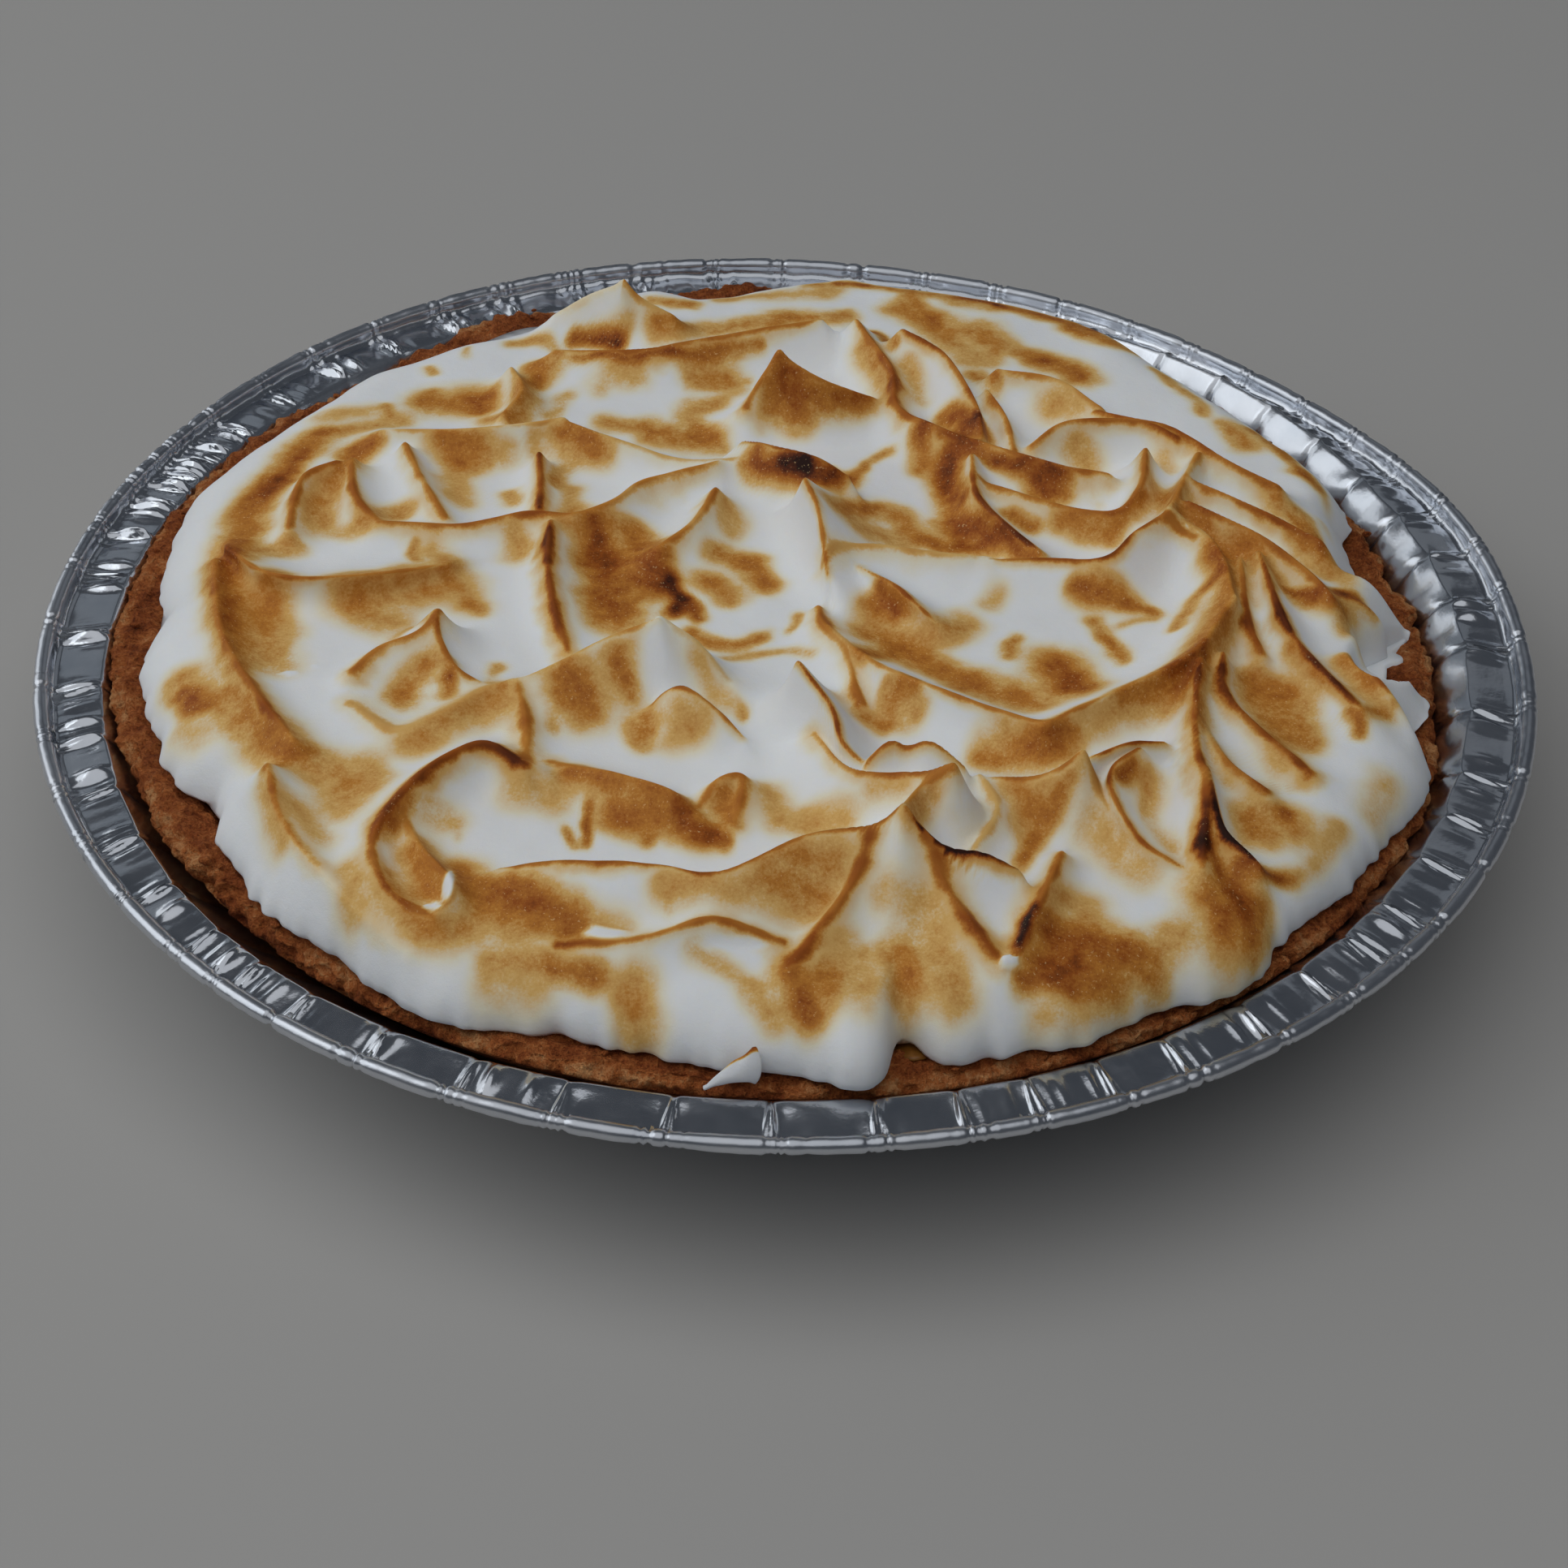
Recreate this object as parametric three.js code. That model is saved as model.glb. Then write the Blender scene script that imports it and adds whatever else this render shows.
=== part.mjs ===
// A lemon meringue pie in its nine-inch foil tin, in millimetres, +Z up.
// The origin is the centre of the tin's underside. +X is to the right of the pie and -Y its front.
import * as THREE from "three";
import { mergeVertices } from "three/addons/utils/BufferGeometryUtils.js";

const TURN = 2 * Math.PI;
const GAP = 0.4; // clearance between pieces that touch

// Tin: a conical wall, a sloping flange and a rolled edge, gathered into pleats.
const tin = {
  outerRadius: 114.5,
  rollRadius: 1.2,
  rollHeight: 27.8, // of the rolled edge's centre
  flangeInner: { radius: 104.2, height: 25.9 },
  flangeOuter: { radius: 111.6, height: 27.2 },
  baseRadius: 82.4,
  cornerRise: 1,
  foil: 0.5,
  pleats: 56,
  pleatSteps: 3, // its fold, and the two sides of the panel beside it
  pleatRise: 0.5, // of a fold above the flange
  pleatSink: 0.6, // of a fold behind the wall's panels
  pleatWander: 0.3, // share of a pleat's spacing that its place wanders by
  wanderRates: [0.9, 0.37], // how quickly that changes from pleat to pleat
  skin: 1.2, // a sloping wall is measured level, so it takes a little more than the foil's thickness
  footTuck: 0.5, // how far the underside's edge lies outside the floor's edge
  // The rim isn't flat: each bend lifts it by so much at an angle, over a width in degrees.
  rimBends: [
    { at: 130, width: 42, by: 1.4 },
    { at: 43, width: 17, by: -1.5 },
    { at: 14, width: 13, by: 1.2 },
  ],
};

// Crust: a short-pastry shell that stands off the tin's wall, with a rough rounded brim.
const crust = {
  thickness: 5.6,
  brimRadius: 102.7,
  brimHeight: 27.5,
  brimWidth: 7.6,
  brimRound: 1.9, // how far down from its top the brim is rounded
  brimPeak: 0.45, // where the brim is highest, as a share of its width from its outer edge
  brimEase: { out: 0.9, outDrop: 0.6, inDrop: 0.7, lip: 1 }, // how its corners are eased
  baseShrink: 1.2, // how far its base lies inside the tin's
  backLift: 1.5, // how much higher the brim is at the back
  roughness: 0.45,
  // Where the shell has shrunk away from the tin, or lies close against it.
  pulls: [
    { at: 238, width: 26, by: -1.5 },
    { at: 275, width: 9, by: -0.9 },
    { at: 185, width: 22, by: 0.5 },
    { at: 300, width: 16, by: 0.3 },
  ],
};

const filling = { level: 25.2, rimWidth: 0.7, rimDrop: 0.2 };

// Meringue: a soft cushion of foam over the filling that laps onto the crust's brim.
const meringue = {
  footRadius: 98.2,
  frontReach: 1.6, // the foot lies further out at the front and further in at the back
  frontAngle: 290,
  footRound: 1.3,
  footRoughness: 0.35,
  seatGap: 0.6, // between the foam and the brim
  hollow: { in: 1.6, ledge: 0.7, least: 1.4 }, // the underside, within the brim's inner edge
  sideShares: [0.3, 0.6, 0.84, 0.96, 1], // where the side's rings lie, from the shoulder to the foot
  shoulder: 10, // how far in from its foot the side becomes the top
  topHeight: 36.2,
  crown: 1.8, // how much higher the middle is
  lead: 8, // how strongly the taller of two crests leads where they meet
  // Dents and bulges of the foot, in degrees and millimetres.
  edges: [
    { at: 276.2, width: 3.2, by: 3.4 },
    { at: 280.2, width: 1.9, by: -8.5 },
    { at: 267, width: 3, by: -1.6 },
    { at: 308, width: 6, by: 1 },
    { at: 357, width: 6, by: -4 },
    { at: 12, width: 13, by: -2.4 },
    { at: 214, width: 4, by: -2.6 },
    { at: 190, width: 9, by: -1.2 },
    { at: 120, width: 8, by: -3 },
    { at: 42, width: 9, by: -3 },
    { at: 108, width: 4, by: 1.6 },
  ],
};

// Crests left by the spoon. Each runs through its points (across, deep, height) and falls off
// in a scoop over its reach on the left and on the right of the way that it runs.
const crests = {
  leftFold: {
    left: 11,
    right: 6,
    through: [[-86, -1, 40], [-78, -10, 41.5], [-67, -11, 41.5], [-51, -4, 40]],
  },
  leftSwirl: {
    left: 7,
    right: 7,
    through: [[-87, -4, 39.5], [-83, -22, 40], [-76, -36, 40], [-68, -48, 39.5]],
  },
  leftShoulder: { left: 8, right: 7, through: [[-71, -55, 41], [-59, -77, 39], [-48, -88, 37.5]] },
  leafSwirl: {
    left: 7,
    right: 10,
    through: [[-35, -54, 41], [-42, -52, 43], [-50, -59, 42], [-54, -69, 40], [-45, -83, 38]],
  },
  petal: {
    left: 7,
    right: 9,
    through: [[-62, -31, 39], [-54, -25, 42], [-51, -22, 44], [-47, -30, 40]],
  },
  tallPeak: {
    left: 7,
    right: 13,
    through: [[-43, -36, 40], [-32, -32, 43], [-18, -28, 48], [-8, -32, 40]],
  },
  smallPeak: { left: 7, right: 8, through: [[-19, -38, 39], [-13, -39, 44], [-5, -44, 39]] },
  doubleHump: {
    left: 7,
    right: 8,
    through: [[-32, -51, 38.5], [-19, -57, 41], [-12, -60, 39.5], [-6, -56, 41], [-6, -62, 38]],
  },
  frontLip: {
    left: 7,
    right: 12,
    through: [[-37, -73, 37.5], [-16, -75, 41.5], [4, -71, 43.5], [17, -71, 48]],
  },
  frontArc: { left: 7, right: 7, through: [[-28, -87, 37], [-8, -85, 40.5], [2, -86, 38]] },
  frontVee: {
    left: 7,
    right: 7,
    through: [[18, -71, 45.5], [23, -78, 41], [30, -89, 37.5], [36, -78, 40]],
  },
  darkLip: { left: 6, right: 8, through: [[17, -71, 47], [27, -73, 43], [33, -73, 40.5]] },
  twinPeak: { left: 7, right: 6, through: [[17, -71, 48], [20, -62, 45.5], [24, -62, 48]] },
  blade: {
    left: 7,
    right: 6,
    through: [[2, -38, 48.5], [8, -50, 44], [15, -51, 45], [26, -53, 42]],
  },
  midRidge: { left: 7, right: 9, through: [[30, -53, 40], [42, -55, 46.5], [46, -60, 40]] },
  arcLip: {
    left: 7,
    right: 6,
    through: [[54, -47, 42], [47, -52, 43], [49, -66, 40], [55, -70, 38.5]],
  },
  longEss: {
    left: 10,
    right: 9,
    through: [[5, -18, 41], [26, -39, 43], [37, -44, 43], [59, -28, 45], [66, -4, 44], [59, 10, 44]],
  },
  spine: { left: 7, right: 7, through: [[60, -29, 45], [58, -58, 42], [57, -70, 39.5]] },
  rightRay: { left: 7, right: 7, through: [[71, 1, 43], [74, -15, 42], [83, -34, 39]] },
  smallLeaf: { left: 6, right: 6, through: [[11, -4, 41], [16, -10, 42.5], [22, -16, 40]] },
  backShelf: {
    left: 8,
    right: 9,
    through: [[-66, 33, 40], [-37, 34, 43], [-18, 26, 41], [-7, 25, 41.5]],
  },
  combFold: {
    left: 7,
    right: 7,
    through: [[-70, 23, 41.5], [-63, 7, 39.5], [-50, 6, 40.5], [-33, 8, 41.5], [-22, 18, 42]],
  },
  longWall: { left: 8, right: 6, through: [[-37, 5, 42], [-34, -16, 41], [-32, -24, 39]] },
  innerFold: { left: 7, right: 8, through: [[-12, 15, 43], [-15, 6, 42.5], [-20, 0, 41]] },
  backLeftPeak: { left: 8, right: 9, through: [[-41, 73, 40], [-30, 74, 45.5], [-22, 71, 41]] },
  backBand: { left: 7, right: 9, through: [[-40, 60, 40], [-12, 62, 42.5], [10, 67, 43]] },
  backPeak: { left: 8, right: 9, through: [[-8, 41, 42], [-3, 45, 49], [13, 45, 42]] },
  burntLip: { left: 6, right: 8, through: [[-8, 28, 43], [-2, 23, 44.5], [9, 20, 42]] },
  whiteEdge: { left: 14, right: 6, through: [[6, -7, 42], [5, 0, 45], [2, 11, 47]] },
  backRoll: { left: 9, right: 8, through: [[10, 67, 43], [16, 52, 43], [24, 34, 42]] },
  backRidge: { left: 7, right: 8, through: [[18, 64, 43.5], [29, 41, 43.5], [30, 32, 42.5]] },
  darkBand: { left: 8, right: 8, through: [[20, 37, 42], [39, 25, 43], [50, 23, 42]] },
  eastWall: { left: 7, right: 7, through: [[28, 26, 43], [33, 7, 42], [38, 1, 41.5]] },
  veeFold: { left: 7, right: 7, through: [[30, 21, 41], [50, 12, 42], [56, 28, 44]] },
  arch: { left: 8, right: 7, through: [[38, 31, 42], [56, 36, 44], [77, 23, 41]] },
  hook: { left: 8, right: 8, through: [[11, 1, 41.5], [39, -1, 42], [53, 3, 44.5], [61, 16, 45]] },
  backRay: { left: 7, right: 7, through: [[61, 12, 44.5], [78, 0, 41.5], [82, -6, 40]] },
};

// A curl of meringue that lies loose on the brim at the front.
const flake = {
  at: 266.6,
  radius: 101.2,
  lift: 1.9,
  length: 7.4,
  depth: 3,
  height: 2.6,
  curl: 1.1,
  taper: 0.4, // how much thinner one end is than its middle
};

const finishes = {
  foil: { color: 0xb9bcc0, roughness: 0.28, metalness: 1 },
  crust: { color: 0x8a5230, roughness: 0.9, metalness: 0 },
  filling: { color: 0xb99a3a, roughness: 0.35, metalness: 0 },
  meringue: { color: 0xe9e4da, roughness: 0.75, metalness: 0 },
};

// The foam's top is a disc of rings, each with six points more than the one inside it.
const topRings = 24;
const columns = 6 * topRings;
const crestSteps = 24;

const degrees = THREE.MathUtils.degToRad;

// The sum of the dents and bulges listed, at an angle in radians.
function bumps(list, angle) {
  return list.reduce((sum, { at, width, by }) => {
    const away = ((angle - degrees(at)) / TURN) % 1;
    const turns = away - Math.round(away);
    return sum + by * Math.exp(-(((turns * 360) / width) ** 2));
  }, 0);
}

// A rough line round the pie, between about -1 and 1.
function rough(angle, phase) {
  return (
    0.4 * Math.sin(17 * angle + phase) +
    0.35 * Math.sin(29 * angle + 2.3 * phase) +
    0.25 * Math.sin(41 * angle - 1.7 * phase)
  );
}

// A lathe whose profile may change with the angle. profileAt gives as many [radius, height]
// points at every step, from the top of the axis, round the outside and back to the axis.
function turned(profileAt, steps, angleOf = (step) => (TURN * step) / steps) {
  // A lathe faces outwards when its profile runs from the underside up.
  const upwards = (step) => profileAt(angleOf(step), step).toReversed();
  const first = upwards(0);
  const outline = first.map(([radius, height]) => new THREE.Vector2(radius, height));
  const geometry = new THREE.LatheGeometry(outline, steps);
  const position = geometry.getAttribute("position");
  for (let column = 0; column <= steps; column++) {
    const step = column % steps;
    const angle = angleOf(step);
    upwards(step).forEach(([radius, height], row) => {
      const index = column * first.length + row;
      position.setXYZ(index, radius * Math.cos(angle), radius * Math.sin(angle), height);
    });
  }
  return closed(geometry);
}

// Joins the seams, so that the surface is one closed body.
function closed(geometry) {
  geometry.deleteAttribute("normal");
  geometry.deleteAttribute("uv");
  const joined = mergeVertices(geometry, 1e-4);
  joined.computeVertexNormals();
  return joined;
}

function piece(name, finish, geometry) {
  const material = new THREE.MeshStandardMaterial({ ...finish, flatShading: true });
  const mesh = new THREE.Mesh(geometry, material);
  mesh.name = name;
  return mesh;
}

const isFold = (step) => step % tin.pleatSteps === 0;

// The angle of a step round the tin. Only the folds wander.
function pleatAngle(step) {
  const pleat = step / tin.pleatSteps;
  const [fast, slow] = tin.wanderRates;
  const wander = Math.sin(pleat * fast) * Math.sin(pleat * slow + 1);
  return (TURN * (pleat + (isFold(step) ? tin.pleatWander * wander : 0))) / tin.pleats;
}

// The radius of the tin's inner wall at a height.
function wallRadius(angle, height) {
  const low = tin.foil + tin.cornerRise;
  const high = tin.flangeInner.height + bumps(tin.rimBends, angle);
  const climb = (height - low) / (high - low);
  return THREE.MathUtils.lerp(tin.baseRadius + tin.cornerRise, tin.flangeInner.radius, climb);
}

function tinProfile(angle, step) {
  const { flangeInner, flangeOuter, baseRadius, rollRadius, rollHeight, foil } = tin;
  const lift = bumps(tin.rimBends, angle);
  const rise = isFold(step) ? tin.pleatRise : 0;
  const sink = isFold(step) ? tin.pleatSink : 0;
  const halfway = flangeInner.height / 2;
  const middle = wallRadius(angle, halfway) + sink / 2;
  const roll = tin.outerRadius - rollRadius;
  const skin = foil * tin.skin;
  return [
    [0, foil],
    [baseRadius, foil],
    [baseRadius + tin.cornerRise, foil + tin.cornerRise],
    [middle, halfway],
    [flangeInner.radius + sink, flangeInner.height + lift],
    [flangeOuter.radius, flangeOuter.height + rise + lift],
    [roll - rollRadius, rollHeight + 0.2 + rise / 2 + lift],
    [roll, rollHeight + rollRadius + lift],
    [tin.outerRadius, rollHeight + lift],
    [roll, rollHeight - rollRadius + lift],
    [flangeOuter.radius + 0.1, flangeOuter.height - foil + rise + lift],
    [flangeInner.radius + sink + skin, flangeInner.height - foil + lift],
    [middle + skin, halfway - foil / 2],
    [baseRadius + tin.footTuck, 0],
    [0, 0],
  ];
}

const brimHeight = (angle) =>
  crust.brimHeight +
  crust.backLift * Math.max(0, Math.sin(angle)) ** 2 +
  crust.roughness * rough(angle, 2);

const brimRadius = (angle) => {
  const ragged = crust.roughness * 0.6 * rough(angle, 1);
  const free = crust.brimRadius + bumps(crust.pulls, angle) + ragged;
  const snug = wallRadius(angle, brimHeight(angle) - crust.brimRound) - 1.5 * GAP;
  return Math.min(free, snug);
};

// The crust's inner wall is parallel to its outer one.
const crustFloor = tin.foil + GAP;
const crustBase = tin.baseRadius - crust.baseShrink;
const innerFloor = crustFloor + crust.thickness;
const innerBase = crustBase - crust.thickness * 0.45;

function crustProfile(angle) {
  const radius = brimRadius(angle);
  const top = brimHeight(angle);
  const inner = radius - crust.brimWidth;
  const { out, outDrop, inDrop, lip } = crust.brimEase;
  return [
    [0, innerFloor],
    [innerBase, innerFloor],
    [inner - lip, filling.level],
    [inner, top - inDrop],
    [radius - crust.brimWidth * crust.brimPeak, top],
    [radius - out, top - outDrop],
    [radius, top - crust.brimRound],
    [crustBase, crustFloor],
    [0, crustFloor],
  ];
}

function fillingProfile(angle) {
  const { level, rimWidth, rimDrop } = filling;
  const rim = brimRadius(angle) - crust.brimWidth - crust.brimEase.lip;
  return [
    [0, level],
    [rim - rimWidth, level - rimDrop],
    [innerBase - rimWidth, innerFloor + GAP],
    [0, innerFloor + GAP],
  ];
}

const footRadius = (angle) =>
  meringue.footRadius +
  meringue.frontReach * Math.cos(angle - degrees(meringue.frontAngle)) +
  bumps(meringue.edges, angle) +
  meringue.footRoughness * rough(angle, 3);

// Crests as runs of short straight pieces.
const crestLines = Object.values(crests).map(({ left, right, through }) => {
  const points = through.map(([x, y, z]) => new THREE.Vector3(x, y, z));
  const line = new THREE.CatmullRomCurve3(points).getPoints(crestSteps);
  return { left, right, line };
});

// How high one crest stands at a place, above the level that the foam has there.
function crestRise({ left, right, line }, x, y, level) {
  let nearest = Infinity;
  let side = 0;
  let height = 0;
  for (let i = 1; i < line.length; i++) {
    const [a, b] = [line[i - 1], line[i]];
    const [dx, dy] = [b.x - a.x, b.y - a.y];
    const along = ((x - a.x) * dx + (y - a.y) * dy) / (dx * dx + dy * dy || 1);
    const t = THREE.MathUtils.clamp(along, 0, 1);
    const away = Math.hypot(x - a.x - t * dx, y - a.y - t * dy);
    if (away < nearest) {
      nearest = away;
      side = dx * (y - a.y) - dy * (x - a.x);
      height = a.z + t * (b.z - a.z);
    }
  }
  const reach = side > 0 ? left : right;
  return Math.max(0, height - level) * THREE.MathUtils.smoothstep(reach - nearest, 0, reach);
}

// The top of the foam. Where crests meet, the taller one leads and the other melts into it.
function foamHeight(x, y, level) {
  const { lead } = meringue;
  const powers = crestLines.reduce((sum, crest) => sum + crestRise(crest, x, y, level) ** lead, 0);
  return level + powers ** (1 / lead);
}

// A point of the foam's upper side. fullness is 1 on its top and falls to 0 at its foot.
function foamPoint(angle, radius, fullness) {
  const { topHeight, crown, footRound } = meringue;
  const waist = seatHeight(angle) + footRound;
  const dome = topHeight + crown * (1 - (radius / meringue.footRadius) ** 2);
  const level = waist + (dome - waist) * fullness;
  const [x, y] = [radius * Math.cos(angle), radius * Math.sin(angle)];
  return [x, y, THREE.MathUtils.lerp(level, foamHeight(x, y, level), fullness ** 2)];
}

const seatHeight = (angle) => brimHeight(angle) + meringue.seatGap;

function ring(count, pointAt) {
  return Array.from({ length: count }, (_, i) => pointAt((TURN * i) / count));
}

function around(radius, height) {
  return (angle) => [radius(angle) * Math.cos(angle), radius(angle) * Math.sin(angle), height(angle)];
}

// The foam's rings of points, from the middle of its top, down its side and under it.
function meringueRings() {
  const { shoulder, footRound, hollow, sideShares } = meringue;
  const top = Array.from({ length: topRings + 1 }, (_, k) =>
    ring(Math.max(1, 6 * k), (angle) =>
      foamPoint(angle, (k / topRings) * (footRadius(angle) - shoulder), 1)),
  );
  const side = sideShares.map((share) =>
    ring(columns, (angle) =>
      foamPoint(angle, footRadius(angle) - shoulder * (1 - share), Math.sqrt(1 - share ** 2))),
  );
  const inner = (angle) => brimRadius(angle) - crust.brimWidth - hollow.in;
  const underside = () => filling.level + GAP;
  const foot = (angle) => Math.max(inner(angle) + hollow.least, footRadius(angle) - footRound);
  const under = [
    ring(columns, around(foot, seatHeight)),
    ring(columns, around((angle) => inner(angle) + hollow.ledge, seatHeight)),
    ring(columns, around((angle) => Math.min(inner(angle), foot(angle) - shoulder / 2), underside)),
    ring(1, around(() => 0, underside)),
  ];
  return [...top, ...side, ...under];
}

// A closed body from rings of points, the first and last of which are single points. Between
// two rings the triangles step round whichever of them is behind.
function stitched(rings) {
  const index = [];
  let near = 0;
  for (let k = 1; k < rings.length; k++) {
    const far = near + rings[k - 1].length;
    const [inside, outside] = [rings[k - 1].length, rings[k].length];
    const [insideSteps, outsideSteps] = [inside, outside].map((count) => (count > 1 ? count : 0));
    for (let i = 0, o = 0; i < insideSteps || o < outsideSteps; ) {
      const corner = [near + (i % inside), far + (o % outside)];
      const outsideNext = o < outsideSteps && (o + 1) * insideSteps <= (i + 1) * outsideSteps;
      if (i === insideSteps || outsideNext) index.push(...corner, far + (++o % outside));
      else index.push(...corner, near + (++i % inside));
    }
    near = far;
  }
  const geometry = new THREE.BufferGeometry();
  geometry.setAttribute("position", new THREE.Float32BufferAttribute(rings.flat(2), 3));
  geometry.setIndex(index);
  geometry.computeVertexNormals();
  return geometry;
}

// A small ball drawn out along the brim, with its ends curled up.
function flakeGeometry() {
  const geometry = new THREE.SphereGeometry(1, 14, 8);
  geometry.scale(flake.length / 2, flake.depth / 2, flake.height / 2);
  const position = geometry.getAttribute("position");
  for (let i = 0; i < position.count; i++) {
    const along = position.getX(i) / (flake.length / 2);
    position.setZ(i, position.getZ(i) * (1 - flake.taper * along) + flake.curl * along ** 2);
  }
  return closed(geometry);
}

const pie = new THREE.Group();
pie.add(piece("foil_pan", finishes.foil, turned(tinProfile, tin.pleats * tin.pleatSteps, pleatAngle)));
pie.add(piece("crust", finishes.crust, turned(crustProfile, columns)));
pie.add(piece("lemon_filling", finishes.filling, turned(fillingProfile, columns)));
pie.add(piece("meringue", finishes.meringue, stitched(meringueRings())));

const loose = piece("meringue_flake", finishes.meringue, flakeGeometry());
const flakeAngle = degrees(flake.at);
loose.position.set(
  flake.radius * Math.cos(flakeAngle),
  flake.radius * Math.sin(flakeAngle),
  brimHeight(flakeAngle) + flake.lift,
);
loose.rotation.z = flakeAngle - Math.PI / 2;
pie.add(loose);

export default pie;
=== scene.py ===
# A lemon meringue pie in its foil tin: the finished surfaces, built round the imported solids.
# Sizes and places are in millimetres and angles in degrees, and are turned to metres as a mesh is made.
import itertools
import math

import bpy
import numpy as np
from mathutils import Matrix


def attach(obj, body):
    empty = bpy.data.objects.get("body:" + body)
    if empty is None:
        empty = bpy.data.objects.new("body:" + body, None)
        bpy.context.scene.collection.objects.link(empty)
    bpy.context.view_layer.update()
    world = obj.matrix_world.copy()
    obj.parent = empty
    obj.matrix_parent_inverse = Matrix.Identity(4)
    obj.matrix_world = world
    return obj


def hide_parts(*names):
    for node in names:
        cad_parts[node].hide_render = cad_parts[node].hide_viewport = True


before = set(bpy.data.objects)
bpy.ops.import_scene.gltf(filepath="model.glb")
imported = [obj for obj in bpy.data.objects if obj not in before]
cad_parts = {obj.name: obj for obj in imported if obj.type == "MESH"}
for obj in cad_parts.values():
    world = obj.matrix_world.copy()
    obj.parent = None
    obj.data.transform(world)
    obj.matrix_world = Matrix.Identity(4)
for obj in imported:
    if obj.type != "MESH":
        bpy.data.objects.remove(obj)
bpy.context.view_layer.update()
mm = 0.001

view = {
    "place": (5.1, -384.4, 301.1),
    "down": 38.44,
    "turn": -0.75,
    "roll": 1.08,
    "focal": 69.75,
    "frameWidth": 36,
    "nearest": 0.01,  # in metres
    "level": 37.0,  # marks on the pie's top are given where they are seen on this level
}


def settled(x, y, height):  # a mark seen on the level, moved along its sight line to its own height
    eye = np.array(view["place"])
    share = (eye[2] - height) / (eye[2] - view["level"])
    return eye[0] + (x - eye[0]) * share, eye[1] + (y - eye[1]) * share


def bumps(marks, angle):  # the sum of the lifts listed as (at, width, by), at angles in radians
    total = np.zeros_like(angle)
    for at, width, by in marks:
        away = (np.degrees(angle) - at + 180) % 360 - 180
        total += by * np.exp(-((away / width) ** 2))
    return total


def rough(angle, phase):  # a rough line round the pie, between about -1 and 1
    waves = 0.4 * np.sin(17 * angle + phase) + 0.35 * np.sin(29 * angle + 2.3 * phase)
    return waves + 0.25 * np.sin(41 * angle - 1.7 * phase)


def smooth(share):
    share = np.clip(share, 0, 1)
    return share * share * (3 - 2 * share)


def grain(points, size, seed):  # soft noise between -1 and 1, in blobs of about that size
    cell = np.asarray(points, float) / size
    low = np.floor(cell).astype(np.int64)
    part = smooth(cell - low)
    total = np.zeros(len(cell))
    for corner in itertools.product((0, 1), repeat=3):
        x, y, z = (low + corner).T
        mixed = (x * 73856093) ^ (y * 19349663) ^ (z * 83492791) ^ (seed * 40503)
        mixed = ((mixed ^ (mixed >> 13)) * 60493) & 0xFFFFFFF
        value = ((mixed ^ (mixed >> 11)) & 0xFFFF) / 0x7FFF - 1
        total += value * np.prod(np.where(corner, part, 1 - part), axis=1)
    return total


def layers(points, marks):  # the sum of the noises listed as (by, size, seed)
    return sum(by * grain(points, size, seed) for by, size, seed in marks)


def pointsOf(piece):
    flat = np.empty(len(piece.data.vertices) * 3, np.float32)
    piece.data.vertices.foreach_get("co", flat)
    return flat.reshape(-1, 3).astype(float) / mm


def setPoints(piece, points):
    piece.data.vertices.foreach_set("co", (points * mm).astype(np.float32).ravel())
    piece.data.update()


def polar(points):
    return np.arctan2(points[:, 1], points[:, 0]), np.hypot(points[:, 0], points[:, 1])


def fromPolar(angle, radius, height):
    return np.stack([radius * np.cos(angle), radius * np.sin(angle), height], axis=1)


def curve(marks, steps):  # a smooth line through its marks
    marks = np.array(marks, float)
    ends = np.vstack([2 * marks[0] - marks[1], marks, 2 * marks[-1] - marks[-2]])
    line = []
    for a, b, c, d in zip(ends, ends[1:], ends[2:], ends[3:]):
        t = np.arange(steps)[:, None] / steps
        bend = (2 * a - 5 * b + 4 * c - d) * t**2 + (3 * b - a - 3 * c + d) * t**3
        line.append(0.5 * (2 * b + (c - a) * t + bend))
    return np.vstack(line + [marks[-1:]])


def nearestOn(line, x, y):  # distance to a line in plan, the side, its height there and how far along
    best = np.full(len(x), np.inf)
    side = np.zeros(len(x))
    height = np.zeros(len(x))
    along = np.zeros(len(x))
    for i, (a, b) in enumerate(zip(line, line[1:])):
        step = b[:2] - a[:2]
        share = ((x - a[0]) * step[0] + (y - a[1]) * step[1]) / max(step @ step, 1e-9)
        share = np.clip(share, 0, 1)
        dx, dy = x - a[0] - share * step[0], y - a[1] - share * step[1]
        away = np.hypot(dx, dy)
        nearer = away < best
        best = np.where(nearer, away, best)
        side = np.where(nearer, step[0] * dy - step[1] * dx, side)
        height = np.where(nearer, a[2] + share * (b[2] - a[2]), height)
        along = np.where(nearer, (i + share) / (len(line) - 1), along)
    return best, side, height, along


def inReach(line, reach, x, y):  # which places lie near enough to a line to matter
    low, high = line.min(axis=0) - reach, line.max(axis=0) + reach
    return np.flatnonzero((x > low[0]) & (x < high[0]) & (y > low[1]) & (y < high[1]))


def setAmount(piece, name, values):
    amount = piece.data.attributes.new(name, "FLOAT", "POINT")
    amount.data.foreach_set("value", np.asarray(values, np.float32))


def edit(choice="ALL"):
    bpy.ops.object.mode_set(mode="EDIT")
    if choice != "KEEP":
        bpy.ops.mesh.select_mode(type="EDGE")
        bpy.ops.mesh.select_all(action="SELECT" if choice == "ALL" else "DESELECT")


def leave():
    bpy.ops.object.mode_set(mode="OBJECT")


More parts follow.
